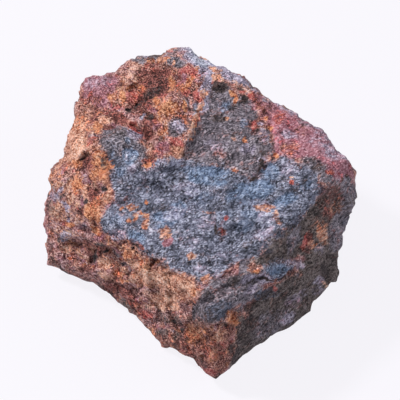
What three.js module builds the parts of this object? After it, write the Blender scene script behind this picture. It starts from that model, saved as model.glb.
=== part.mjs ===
// A fist-sized lump of copper ore, one broken block of rock, in millimetres with +Z up.
//
// The lump is worked out as a closed surface around its heart, a point inside the rock. Each
// direction from the heart gets a point of the surface in five steps:
//   1. blank:     the fracture planes that broke the block, with worn edges between them
//   2. outline:   the blank is pushed in and out until its edge follows the lump's outline
//   3. relief:    plates, hollows, lumps, ledges and cracks on the display side
//   4. roughness: swells and broken facets all over
//   5. base:      everything below the ground plane is laid flat on it, so that the lump rests
// The display side is the side the lump shows best: its sloping top and its two front walls.

import * as THREE from "three";

// ---- driving dimensions, mm and degrees
const HEART_HEIGHT = 28; // the heart above the ground
const DISPLAY_ELEVATION = 50; // how steeply the display side looks up
const CELLS = 28; // grid cells along each edge of the cube that the surface is grown from
const EDGE_SHARPNESS = 40; // power of the mean that joins the fracture planes; higher is crisper
const STEP_WIDTH = 2; // degrees over which the upper block gives way to the lower one
const STEP_WANDER = 3.5; // degrees by which that step wanders up and down
const OUTLINE_STEPS = 720; // directions in which the outline is measured
const OUTLINE_SPREAD = 12; // degrees over which the outline's smooth share is averaged
const RELIEF_BEHIND = -24; // the relief fades out between these two depths, towards the back
const RELIEF_FULL = 0;

// ---- fracture planes: [azimuth from +Y towards +X, pitch, distance from the heart]
const SHARED_PLANES = [
  [180, 74, 22.6], [100, 80, 27.6], [245, 46, 36.5], [300, 66, 34], // sloping top and its left shoulder
  [36, 33, 43], [62, 22, 46], [345, 38, 47.5], [322, 30, 49.5], // slopes behind the top
  [92, -3, 48], [52, -2, 46], [12, 6, 45], [340, -8, 45.5], [312, -2, 47], // back and right walls
  [272, 3, 49], [290, 14, 46], // left end
  [30, -24, 48], [80, -20, 48.5], [60, -50, 46], [335, -48, 45], // undercuts
  [285, -44, 47], [105, -46, 46], [223, -42, 45], [137, -40, 46],
  [0, -90, 32], // base
];
const UPPER_PLANES = [
  ...SHARED_PLANES,
  [223, 38, 34.4], [160, 48, 38], [224, 4, 34.6], [252, -2, 46.5], // left front bevel, tip and wall
  [133, 16, 38.6], [118, 30, 43], // right front wall
];
const LOWER_PLANES = [...SHARED_PLANES, [223, 9, 32.4], [250, 0, 45], [134, 4, 38]];
// the pitch, seen from the heart, at which the upper block ends: [azimuth, pitch]
const STEP_LINE = [
  [0, -60], [85, -50], [100, -20], [112, -8], [127, -6], [150, -4], [162, -1], [171, 1], [178, -4],
  [187, -12], [197, -16], [215, -14], [235, -16], [255, -24], [275, -60], [360, -60],
];

// ---- the lump's outline on the display side: [across, up] from the heart
const OUTLINE = [
  [-6, 51], [-3, 49.5], [1, 45.5], [7, 44.5], [13, 42.5], [15, 39.5], [16.5, 36.5], [22.5, 33], [31.5, 28],
  [37.5, 24.5], [41, 21.5], [44, 18], [48, 14.5], [49.5, 10.5], [47.5, 5], [48, 0.5], [46, -2.5],
  [45, -5.5], [44, -10.5], [43.5, -13], [43.5, -24], [41.5, -24], [39.5, -26.5], [36.5, -30.5],
  [35.5, -33.5], [32, -36.5], [28, -39], [22.5, -41], [17, -44], [12.5, -48], [9.5, -51.5], [6.5, -52.5],
  [5, -54], [1, -51.5], [-2, -47], [-7.5, -45.5], [-12.5, -44.5], [-14.5, -41.5], [-18.5, -36.5],
  [-22.5, -33], [-28, -29], [-32, -25], [-37.5, -24], [-44, -21], [-50, -19], [-49.5, -14.5],
  [-48.5, -10], [-50.5, -5.5], [-49.5, -1.5], [-47.5, 2.5], [-46.5, 5.5], [-47, 8.5], [-46, 10.5],
  [-44, 13.5], [-43, 19], [-42, 24], [-39.5, 29.5], [-39, 35.5], [-39.5, 40], [-38.5, 42.5], [-34, 43],
  [-29, 42.5], [-26, 45], [-22.5, 48], [-19.5, 48], [-15.5, 48.5], [-11, 49.5],
];

// ---- relief on the display side; points are [across, up] from the heart
// plates stand above their surroundings, or below them where the height is negative
const PLATES = [
  { name: "tarnished dish", height: -1, edge: 3.5, outline: [
    [-28, 17.5], [-16, 8.5], [-7, 13], [0, 10.5], [17.5, 7.5], [22, 13], [27, 11], [38, 7], [35, 1.5],
    [29, -3], [20, -12], [7, -18], [-5, -18], [-17.5, -14.5], [-25.5, -8.5], [-30, -0.5]] },
  { name: "dark plate", height: -0.9, edge: 1.6, outline: [
    [3, 40.5], [13, 34], [20.5, 29], [23, 17], [17.5, 8], [0, 10.5], [-4.5, 14], [-0.5, 26], [1.5, 33.5]] },
  { name: "red plate", height: 0.7, edge: 1.4, outline: [
    [21, 31], [32, 28.5], [44, 19.5], [48, 10.5], [38, 10], [30.5, 14], [23, 17]] },
  { name: "grey blade", height: 1.8, edge: 1, outline: [
    [-3, -35.5], [1.5, -30.5], [8, -26.5], [14.5, -24.5], [24, -21], [32.5, -18], [27, -23.5],
    [20, -28], [13, -31.5], [7, -36], [1.5, -38]] },
  { name: "slate lens", height: 1.2, edge: 0.8, outline: [
    [17.5, -20], [24, -17], [30, -18], [30.5, -21], [24, -23], [18.5, -22]] },
  { name: "recess under the left ledge", height: -2.6, edge: 1.3, outline: [
    [-46, -13], [-42, -12], [-35, -12.5], [-28, -13.5], [-24.5, -17], [-26, -21], [-32, -20],
    [-38.5, -18], [-44, -16]] },
  { name: "cube block", height: 1.8, edge: 0.9, outline: [
    [-27, -24.5], [-22.5, -23], [-20, -25.5], [-21, -29], [-25, -29.5]] },
  { name: "crest band", height: 0.7, edge: 1.8, outline: [
    [-7, 51], [0, 48.5], [7, 44.5], [14.5, 40.5], [13, 37], [7, 39.5], [3, 40.5], [-1.5, 44], [-6, 46.5]] },
  { name: "shelf along the right wall", height: -1, edge: 1.5, outline: [
    [4.5, -21], [11, -19.5], [16, -15.5], [24.5, -10], [36.5, 1.5], [46.5, 8.5], [46.5, -3], [32, -18],
    [20, -22], [8, -27], [0, -30.5]] },
  { name: "bevel below the dish", height: -0.8, edge: 2, outline: [
    [-49.5, -19], [-41, -11], [-30.5, -6.5], [-24, -11], [-17.5, -16.5], [-5, -22.5], [0, -30.5],
    [-16, -21], [-25.5, -18]] },
  { name: "flake scar above the tip", height: -1, edge: 1.4, outline: [
    [-19, -30.5], [-11, -32.5], [-3, -36], [-1.5, -45], [-8, -46.5], [-16, -39.5], [-22.5, -33.5]] },
  { name: "pink slope", height: 0.8, edge: 1.6, outline: [
    [-16, 8.5], [-5, 17.5], [0, 26], [1.5, 33.5], [-3, 33.5], [-9, 27], [-14, 23.5], [-16.5, 18]] },
  { name: "brow over the left ledge", height: 0.9, edge: 1.2, outline: [
    [-34.5, -8.5], [-28, -10.5], [-23, -14.5], [-25.5, -16.5], [-32, -14]] },
];
// round hollows, or lumps where the depth is negative: [centre, half sizes, turn in degrees, depth]
const HOLLOWS = [
  [[-12, 40], [8, 5], -22, 3.6], [[-18, 35.5], [5.5, 3], -48, 2.8], [[-20, 31.5], [4, 2.2], -40, 2.6],
  [[-10, 31.5], [4.4, 3.8], 20, -2.4], [[-20, 23.5], [5, 2.4], -45, 2.2], [[-25, 20.5], [7, 4], -35, -1.3],
  [[6, 37], [3, 2.6], 60, 1.5],
  [[-46.5, 9], [3.2, 3], 0, -1.4], [[-37, 14.5], [2.4, 1.7], 30, 2.2], [[-32, 8.5], [3.6, 3.2], 0, -1.3],
  [[41.5, -19], [3.4, 2.4], 30, 1.8], [[-33, 38.5], [5.5, 4], 20, -1.8],
  [[41.5, 1.5], [6, 3.5], 40, 1.4], [[1.5, 0], [8, 4], 25, 0.8],
  [[-15, 6], [8, 3.5], -15, 1], [[11, -9.5], [9, 4], 20, 0.8], [[13, 19], [7, 5], 20, -0.9],
  [[-41.5, 20], [3.5, 8], -15, -1], [[-9.5, -25], [7, 4], -30, -1], [[32, -9.5], [8, 3], 40, 0.9],
  [[-28, 28], [5, 3], 60, 1.2], [[-40, 0], [6, 4], 10, -1], [[-44, -6.5], [4, 3], 0, 0.9],
  [[-19, 0], [5, 3], -20, -0.7], [[35, 17.5], [5, 3], -30, -0.8], [[27, 28], [4, 2], -35, 0.8],
  [[-23, 42.5], [5, 4], 20, -1], [[-3, 44.5], [5, 3], -30, -0.8], [[-6, 37], [4, 3], 50, -1],
  [[-25.5, -18], [4, 2], -30, -1], [[-38.5, -20], [5, 2], -10, -1.2], [[5, -45], [6, 4], 50, -0.8],
  [[24, -33.5], [8, 4], 30, 0.8], [[16.5, -34], [3, 4], 20, 1.2], [[32, -24], [7, 3], 35, -0.8],
];
// ridges along a line, or cracks where the height is negative: [points, height, half width]
const RIDGES = [
  [[[3, 41.5], [-0.5, 36], [-3, 30], [-8.5, 27], [-14, 23.5]], 0.9, 1.5],
  [[[-1.5, 26], [-4, 21.5], [-5, 17.5], [-7.5, 14], [-13, 12]], 1, 1.4],
  [[[-21, 47], [-23.5, 40], [-26, 33.5]], 1.2, 2],
  [[[22, 13.5], [20, 11], [17.5, 7.5]], -0.8, 1.2],
  [[[21, 30], [22.5, 23.5], [23, 17]], -0.8, 0.8],
  [[[-24, -12], [-20, -13.5], [-17.5, -16.5], [-11, -20], [-5, -22.5]], -0.6, 0.9],
  [[[-43, -12], [-35, -12.5], [-28, -13.5]], -1.2, 1],
  [[[-13, -2], [-3, 1.5], [7, 5]], 0.5, 1.6],
  [[[-16, -6.5], [-5, -4], [7, 0.5], [17.5, 3]], 0.5, 1.4],
  [[[-3, -14.5], [8, -10.5], [19, -5.5], [27, 0]], 0.6, 1.6],
  [[[-1.5, -38], [8, -36], [14, -31.5], [22, -27], [29.5, -21]], -1.2, 0.9],
  [[[13, -31.5], [10, -40], [6.5, -48.5], [5.5, -54.5]], 0.8, 1.6],
  [[[32, -3], [38, 1], [45, 7.5]], 0.7, 1.5],
];
// the crumbly rusted ground, which breaks more coarsely than the rest
const RUSTED_GROUND = [
  [-54.5, 46.5], [-19, 56], [1.5, 46.5], [-1.5, 33.5], [-3, 25.5], [-5, 17.5], [-16, 8.5], [-28, 17.5],
  [-29, 8.5], [-30.5, -6], [-19, -13], [-10, -20], [-1.5, -24.5], [0, -30.5], [-4.5, -34], [8, -37],
  [13, -31.5], [13, -40], [5, -59], [-57.5, -30.5],
];

// ---- small mathematics
const radians = (degrees) => (degrees * Math.PI) / 180;
const clamp = (x, low, high) => Math.min(Math.max(x, low), high);

function smoothStep(x, low, high) {
  const t = clamp((x - low) / (high - low), 0, 1);
  return t * t * (3 - 2 * t);
}

function direction(azimuth, pitch) {
  const a = radians(azimuth);
  const p = radians(pitch);
  return new THREE.Vector3(Math.cos(p) * Math.sin(a), Math.cos(p) * Math.cos(a), Math.sin(p));
}

// a value read off a line of [x, y] points, straight between them
function along(points, x) {
  const next = Math.max(points.findIndex((point) => point[0] > x), 1);
  const [x0, y0] = points[next - 1];
  const [x1, y1] = points[next];
  return y0 + ((y1 - y0) * clamp(x - x0, 0, x1 - x0)) / (x1 - x0);
}

// ---- the display frame: across, up, and out towards whoever looks at the lump
const HEART = new THREE.Vector3(0, 0, HEART_HEIGHT);
const ACROSS = new THREE.Vector3(1, 0, 0);
const OUT = direction(180, DISPLAY_ELEVATION);
const UP = new THREE.Vector3().crossVectors(OUT, ACROSS);

function toDisplay(point) {
  const q = point.clone().sub(HEART);
  return [q.dot(ACROSS), q.dot(UP), q.dot(OUT)];
}

function fromDisplay(across, up, out) {
  return HEART.clone().addScaledVector(ACROSS, across).addScaledVector(UP, up).addScaledVector(OUT, out);
}

// ---- noise
// a number from 0 to 1 for each corner of a lattice, always the same one for the same corner and seed
function corner(x, y, z, seed) {
  let h = Math.imul(x, 374761393) + Math.imul(y, 668265263) + Math.imul(z, 1440662683) + Math.imul(seed, 362437);
  h >>>= 0;
  h = Math.imul(h ^ (h >>> 13), 1274126177) >>> 0;
  h = Math.imul(h ^ (h >>> 16), 2246822519) >>> 0;
  return ((h ^ (h >>> 15)) & 0xffffff) / 0xffffff;
}

const fade = (t) => t * t * t * (t * (t * 6 - 15) + 10);
const mix = (a, b, t) => a + (b - a) * t;

// smooth noise from -1 to 1, mixed between the eight corners around the point
function noise(point, size, seed, shift = 0) {
  const [x, y, z] = [point.x / size + shift, point.y / size + shift, point.z / size + shift];
  const [i, j, k] = [Math.floor(x), Math.floor(y), Math.floor(z)];
  const [u, v, w] = [fade(x - i), fade(y - j), fade(z - k)];
  const side = (di) => mix(
    mix(corner(i + di, j, k, seed), corner(i + di, j + 1, k, seed), v),
    mix(corner(i + di, j, k + 1, seed), corner(i + di, j + 1, k + 1, seed), v),
    w,
  );
  return mix(side(0), side(1), u) * 2 - 1;
}

// octaves of noise, each half as strong and about half as large as the one before
function swell(point, size, octaves, seed) {
  let sum = 0;
  for (let k = 0; k < octaves; k += 1) {
    sum += 0.5 ** k * noise(point, size / 2.03 ** k, seed + k, 17.3 * k);
  }
  return sum;
}

function wander(point, size, amount, seed) {
  const [dx, dy, dz] = [0, 1, 2].map((k) => amount * noise(point, size, seed + k));
  return new THREE.Vector3(point.x + dx, point.y + dy, point.z + dz);
}

// broken facets: one tilted plane per cell, neighbours mixed by the falling exponent of their distance
function chips(point, size, seed, sharpness) {
  const q = point.clone().divideScalar(size);
  const cell = [Math.floor(q.x), Math.floor(q.y), Math.floor(q.z)];
  let top = 0;
  let bottom = 0;
  for (let n = 0; n < 27; n += 1) {
    const [x, y, z] = [cell[0] + (n % 3) - 1, cell[1] + (Math.floor(n / 3) % 3) - 1, cell[2] + Math.floor(n / 9) - 1];
    const [a, b, c] = [0, 1, 2].map((k) => corner(x, y, z, seed + k));
    const offset = [q.x - x - 0.1 - 0.8 * a, q.y - y - 0.1 - 0.8 * b, q.z - z - 0.1 - 0.8 * c];
    const tilt = offset[0] * (2 * b - 1) + offset[1] * (2 * c - 1) + offset[2] * (2 * a - 1);
    const weight = Math.exp(-sharpness * Math.hypot(...offset));
    top += weight * (corner(x, y, z, seed + 7) - 0.5 + 0.9 * tilt);
    bottom += weight;
  }
  return top / bottom;
}

// ---- step 1: the blank
const asPlanes = (rows) => rows.map(([azimuth, pitch, distance]) => direction(azimuth, pitch).divideScalar(distance));
const UPPER_BLOCK = asPlanes(UPPER_PLANES);
const LOWER_BLOCK = asPlanes(LOWER_PLANES);

// how far out the planes stop a ray from the heart; the power mean wears the edges between them
function reach(ray, planes) {
  let sum = 0;
  for (const plane of planes) sum += Math.max(ray.dot(plane), 0) ** EDGE_SHARPNESS;
  return sum ** (-1 / EDGE_SHARPNESS);
}

function blankRadius(ray) {
  const azimuth = (THREE.MathUtils.radToDeg(Math.atan2(ray.x, ray.y)) + 360) % 360;
  const pitch = THREE.MathUtils.radToDeg(Math.asin(clamp(ray.z, -1, 1)));
  const step = along(STEP_LINE, azimuth) + STEP_WANDER * noise(ray, 1 / 6, 5);
  const upper = smoothStep(pitch - step, -STEP_WIDTH, STEP_WIDTH);
  return mix(reach(ray, LOWER_BLOCK), reach(ray, UPPER_BLOCK), upper);
}

// ---- step 2: the outline
// the distance to a closed outline along an angle
function outlineRadius(angle, outline) {
  const [c, s] = [Math.cos(angle), Math.sin(angle)];
  let far = 0;
  outline.forEach(([x0, y0], i) => {
    const [x1, y1] = outline[(i + 1) % outline.length];
    const [ex, ey] = [x1 - x0, y1 - y0];
    const slant = c * ey - s * ex;
    if (Math.abs(slant) < 1e-9) return;
    const radius = (x0 * ey - y0 * ex) / slant;
    const share = (x0 * s - y0 * c) / slant;
    if (radius > far && share >= -1e-9 && share <= 1 + 1e-9) far = radius;
  });
  return far;
}

// the blank's own outline: the furthest that it reaches at an angle, over all depths
function blankOutline(angle) {
  let far = 0;
  for (let pitch = -74; pitch <= 74; pitch += 2) {
    const flat = Math.cos(radians(pitch));
    const ray = new THREE.Vector3()
      .addScaledVector(ACROSS, flat * Math.cos(angle))
      .addScaledVector(UP, flat * Math.sin(angle))
      .addScaledVector(OUT, Math.sin(radians(pitch)));
    far = Math.max(far, blankRadius(ray) * flat);
  }
  return far;
}

function measureOutline() {
  const angles = Array.from({ length: OUTLINE_STEPS }, (_, i) => -Math.PI + (2 * Math.PI * i) / OUTLINE_STEPS);
  const blank = angles.map(blankOutline);
  const ratio = angles.map((angle, i) => outlineRadius(angle, OUTLINE) / blank[i]);
  const spread = (OUTLINE_STEPS * OUTLINE_SPREAD) / 360;
  const smooth = ratio.map((_, i) => {
    let sum = 0;
    let weights = 0;
    for (let k = -3 * spread; k <= 3 * spread; k += 1) {
      const weight = Math.exp(-0.5 * (k / spread) ** 2);
      sum += weight * ratio[(i + k + OUTLINE_STEPS) % OUTLINE_STEPS];
      weights += weight;
    }
    return sum / weights;
  });
  return { blank, smooth, detail: ratio.map((r, i) => r / smooth[i]) };
}

const MEASURED = measureOutline();

function aroundOutline(values, angle) {
  const at = ((angle + Math.PI) / (2 * Math.PI)) * OUTLINE_STEPS;
  const i = Math.floor(at);
  return mix(values[i % OUTLINE_STEPS], values[(i + 1) % OUTLINE_STEPS], at - i);
}

// the smooth share of the push grows early on the way out and the detail only near the edge
function pushToOutline(point) {
  const [across, up, out] = toDisplay(point);
  const angle = Math.atan2(up, across);
  const share = Math.hypot(across, up) / aroundOutline(MEASURED.blank, angle);
  const smooth = 1 + (aroundOutline(MEASURED.smooth, angle) - 1) * share ** 3;
  const detail = 1 + (aroundOutline(MEASURED.detail, angle) - 1) * share ** 12;
  return fromDisplay(across * smooth * detail, up * smooth * detail, out);
}

// ---- step 3: the relief
function distanceToLine(x, y, points, closed) {
  let near = Infinity;
  const last = closed ? points.length : points.length - 1;
  for (let i = 0; i < last; i += 1) {
    const [x0, y0] = points[i];
    const [x1, y1] = points[(i + 1) % points.length];
    const [ex, ey] = [x1 - x0, y1 - y0];
    const t = clamp(((x - x0) * ex + (y - y0) * ey) / (ex * ex + ey * ey), 0, 1);
    near = Math.min(near, Math.hypot(x - x0 - t * ex, y - y0 - t * ey));
  }
  return near;
}

// the distance inside a closed outline, less than zero outside it
function depthInside(x, y, outline) {
  let inside = false;
  outline.forEach(([x0, y0], i) => {
    const [x1, y1] = outline[(i + 1) % outline.length];
    if (y > y0 !== y > y1 && x < ((x1 - x0) * (y - y0)) / (y1 - y0) + x0) inside = !inside;
  });
  return (inside ? 1 : -1) * distanceToLine(x, y, outline, true);
}

function hollowDepth(x, y, [[cx, cy], [halfLength, halfWidth], turn, depth]) {
  const [c, s] = [Math.cos(radians(turn)), Math.sin(radians(turn))];
  const lengthways = ((x - cx) * c + (y - cy) * s) / halfLength;
  const sideways = ((y - cy) * c - (x - cx) * s) / halfWidth;
  const rim = 1.35; // a hollow fades out a little past its half sizes
  return depth * Math.max(1 - (lengthways ** 2 + sideways ** 2) / rim ** 2, 0) ** 2;
}

function relief(x, y) {
  let height = 0;
  for (const plate of PLATES) {
    height += plate.height * smoothStep(depthInside(x, y, plate.outline), -plate.edge, plate.edge);
  }
  for (const hollow of HOLLOWS) height -= hollowDepth(x, y, hollow);
  for (const [points, rise, halfWidth] of RIDGES) {
    height += rise * Math.exp(-((distanceToLine(x, y, points, false) / halfWidth) ** 2));
  }
  return height;
}

// ---- steps 4 and 5: roughness and base
function surfacePoint(ray) {
  const blank = HEART.clone().addScaledVector(ray, blankRadius(ray));
  const shaped = pushToOutline(blank);
  const [across, up, out] = toDisplay(shaped);
  const x = across + 1.6 * noise(shaped, 7, 11) + 0.6 * noise(shaped, 2.6, 12);
  const y = up + 1.6 * noise(shaped, 7, 13) + 0.6 * noise(shaped, 2.6, 14);
  const front = smoothStep(out, RELIEF_BEHIND, RELIEF_FULL);
  const q = fromDisplay(across, up, out + relief(x, y) * front);

  const rust = smoothStep(depthInside(x, y, RUSTED_GROUND), -2, 2) * front;
  const back = 1 - smoothStep(out, -14, 6);
  const broad = (1.1 + 1.3 * back) * swell(q, 24, 2, 31) + 0.8 * swell(q, 9, 2, 41);
  const slabs = (0.8 + back) * chips(wander(q, 6, 1.6, 51), 12, 61, 26);
  const chunks = (0.55 + 0.75 * rust + 0.2 * back) * chips(wander(q, 3, 0.9, 54), 5.2, 65, 20);
  const outwards = q.clone().sub(HEART).normalize();
  q.addScaledVector(outwards, broad + slabs + chunks);
  q.z = Math.max(q.z, 0);
  return q;
}

// ---- the closed surface, grown from the faces of a cube
// a cube corner, edge or face point, given by whole numbers from 0 to CELLS, becomes a direction
function cubeRay(steps) {
  const [x, y, z] = steps.map((step) => Math.tan(radians((90 * step) / CELLS - 45)));
  return new THREE.Vector3(x, y, z).normalize();
}

function growLump() {
  const points = [];
  const known = new Map();
  const pointAt = (steps) => {
    const key = steps.join(" ");
    if (!known.has(key)) {
      known.set(key, points.length);
      points.push(surfacePoint(cubeRay(steps)));
    }
    return known.get(key);
  };
  const triangles = [];
  for (let axis = 0; axis < 3; axis += 1) {
    for (const side of [0, CELLS]) {
      const at = (i, j) => {
        const steps = [0, 0, 0];
        steps[axis] = side;
        steps[(axis + 1) % 3] = i;
        steps[(axis + 2) % 3] = j;
        return pointAt(steps);
      };
      for (let i = 0; i < CELLS; i += 1) {
        for (let j = 0; j < CELLS; j += 1) {
          const ring = [at(i, j), at(i + 1, j), at(i + 1, j + 1), at(i, j + 1)];
          if (side === 0) ring.reverse();
          const [a, b, c, d] = ring;
          // the shorter diagonal gives the better shaped pair
          const straight = points[a].distanceTo(points[c]) <= points[b].distanceTo(points[d]);
          triangles.push(...(straight ? [a, b, c, a, c, d] : [a, b, d, b, c, d]));
        }
      }
    }
  }
  return { points, triangles };
}

function makeGeometry() {
  const { points, triangles } = growLump();
  const box = new THREE.Box3().setFromPoints(points);
  const middle = box.getCenter(new THREE.Vector3()).setZ(0);
  const geometry = new THREE.BufferGeometry().setFromPoints(points.map((point) => point.sub(middle)));
  geometry.setIndex(triangles);
  geometry.computeVertexNormals();
  return geometry;
}

const ROCK = new THREE.MeshStandardMaterial({ color: 0x7d6a66, roughness: 0.85, metalness: 0.05, flatShading: true });

const group = new THREE.Group();
const lump = new THREE.Mesh(makeGeometry(), ROCK);
lump.name = "copper_ore";
group.add(lump);

export default group;
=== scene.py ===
"""A fist-sized lump of copper ore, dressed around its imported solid.

The lump is one broken piece of rock. Its surface is the same closed form that the solid has, worked
out on a finer grid and with finer breaks added, and then fitted to the solid's box. Lengths in the
tables are millimetres, measured from the lump's heart in the display frame: across, up, and out
towards whoever looks at the sloping top and the two front walls. Blender's own units are metres.
"""

from __future__ import annotations

import logging
from dataclasses import dataclass, field
from enum import Enum

import bpy
import numpy as np
from mathutils import Matrix, Vector


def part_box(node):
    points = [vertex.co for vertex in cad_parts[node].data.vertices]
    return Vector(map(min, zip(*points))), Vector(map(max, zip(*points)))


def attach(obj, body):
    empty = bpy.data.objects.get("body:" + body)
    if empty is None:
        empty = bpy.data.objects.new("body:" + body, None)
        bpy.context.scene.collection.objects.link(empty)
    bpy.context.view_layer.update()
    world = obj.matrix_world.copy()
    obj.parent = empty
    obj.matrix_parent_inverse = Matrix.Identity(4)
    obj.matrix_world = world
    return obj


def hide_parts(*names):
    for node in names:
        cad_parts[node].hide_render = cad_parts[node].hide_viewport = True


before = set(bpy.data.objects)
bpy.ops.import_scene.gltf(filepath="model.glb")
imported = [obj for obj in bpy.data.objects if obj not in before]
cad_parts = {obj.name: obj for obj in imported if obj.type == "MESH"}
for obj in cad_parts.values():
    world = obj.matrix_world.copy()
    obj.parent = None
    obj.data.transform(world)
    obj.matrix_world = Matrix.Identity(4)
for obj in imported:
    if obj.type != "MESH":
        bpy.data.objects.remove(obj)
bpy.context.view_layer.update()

LOG = logging.getLogger("copper_ore")
NODE = "copper_ore"
BODY = "root"
MM = 0.001  # one millimetre in metres
STREAK_TURN = 32.0  # degrees by which the streaks of the tarnish rise to the right

Point = tuple[float, float]
Array = np.ndarray


class Mineral(Enum):
    """What the rock's surface is made of, from place to place; a few also carry painted shade and glints.
    Later ones lie over earlier ones.
    """

    UMBER = "umber"
    GRAPHITE = "graphite"
    ROSE = "rose"
    TARNISH = "tarnish"
    RASPBERRY = "raspberry"
    LILAC = "lilac"
    BLUE = "blue"
    # pale blue-lilac, partly painted highlights on the crest and the slate and painted glints on small
    # crystals
    PALE_BLUE_AND_HIGHLIGHT = "frost"
    # dark blue-grey, partly painted shade on the slate
    INK_AND_SHADE = "ink"
    # dark red rust, and in places painted shade in hollows, cracks and the recess under the left ledge
    MAROON = "maroon"
    TAN = "tan"
    CRIMSON = "crimson"
    OCHRE = "ochre"
    # pale salmon, partly painted glints on white crystals and painted light on slopes that the lamps leave
    # darker
    PALE_AND_HIGHLIGHT = "pale"
    # near black, partly painted shade in cracks, holes and pits
    BLACK_AND_SHADE = "soot"


# ---- the rows of the tables, in the display frame
@dataclass(frozen=True)
class Plate:
    """A flat patch that stands above its surroundings, or below them if its height is negative."""

    name: str
    height: float
    edge: float
    outline: list[Point]


@dataclass(frozen=True)
class Hollow:
    """A round hollow, or a lump if its depth is negative."""

    centre: Point
    half_sizes: Point
    turn: float
    depth: float


@dataclass(frozen=True)
class Ridge:
    """A ridge along a line, or a crack if its height is negative."""

    points: list[Point]
    height: float
    half_width: float


@dataclass(frozen=True)
class Field:
    """A large area of one mineral, with an outline of its own."""

    mineral: Mineral
    strength: float
    outline: list[Point]


@dataclass(frozen=True)
class Spot:
    """A small oval patch: its centre, half length, half width, strength and turn."""

    x: float
    y: float
    long: float
    wide: float
    strength: float
    turn: float = 0.0


# fracture planes: azimuth from +Y towards +X, pitch, distance from the heart
SHARED_PLANES = [
    (180, 74, 22.6), (100, 80, 27.6), (245, 46, 36.5), (300, 66, 34), (36, 33, 43), (62, 22, 46),
    (345, 38, 47.5), (322, 30, 49.5), (92, -3, 48), (52, -2, 46), (12, 6, 45), (340, -8, 45.5),
    (312, -2, 47), (272, 3, 49), (290, 14, 46), (30, -24, 48), (80, -20, 48.5), (60, -50, 46),
    (335, -48, 45), (285, -44, 47), (105, -46, 46), (223, -42, 45), (137, -40, 46), (0, -90, 32),
]
UPPER_PLANES = SHARED_PLANES + [
    (223, 38, 34.4), (160, 48, 38), (224, 4, 34.6), (252, -2, 46.5), (133, 16, 38.6), (118, 30, 43),
]
LOWER_PLANES = SHARED_PLANES + [(223, 9, 32.4), (250, 0, 45), (134, 4, 38)]
# the pitch, seen from the heart, at which the upper block ends: azimuth, pitch
STEP_LINE = [
    (0, -60), (85, -50), (100, -20), (112, -8), (127, -6), (150, -4), (162, -1), (171, 1), (178, -4),
    (187, -12), (197, -16), (215, -14), (235, -16), (255, -24), (275, -60), (360, -60),
]
# the lump's outline on the display side
OUTLINE = [
    (-6, 51), (-3, 49.5), (1, 45.5), (7, 44.5), (13, 42.5), (15, 39.5), (16.5, 36.5), (22.5, 33),
    (31.5, 28), (37.5, 24.5), (41, 21.5), (44, 18), (48, 14.5), (49.5, 10.5), (47.5, 5), (48, 0.5),
    (46, -2.5), (45, -5.5), (44, -10.5), (43.5, -13), (43.5, -24), (41.5, -24), (39.5, -26.5),
    (36.5, -30.5), (35.5, -33.5), (32, -36.5), (28, -39), (22.5, -41), (17, -44), (12.5, -48), (9.5, -51.5),
    (6.5, -52.5), (5, -54), (1, -51.5), (-2, -47), (-7.5, -45.5), (-12.5, -44.5), (-14.5, -41.5),
    (-18.5, -36.5), (-22.5, -33), (-28, -29), (-32, -25), (-37.5, -24), (-44, -21), (-50, -19),
    (-49.5, -14.5), (-48.5, -10), (-50.5, -5.5), (-49.5, -1.5), (-47.5, 2.5), (-46.5, 5.5), (-47, 8.5),
    (-46, 10.5), (-44, 13.5), (-43, 19), (-42, 24), (-39.5, 29.5), (-39, 35.5), (-39.5, 40), (-38.5, 42.5),
    (-34, 43), (-29, 42.5), (-26, 45), (-22.5, 48), (-19.5, 48), (-15.5, 48.5), (-11, 49.5),
]
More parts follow.
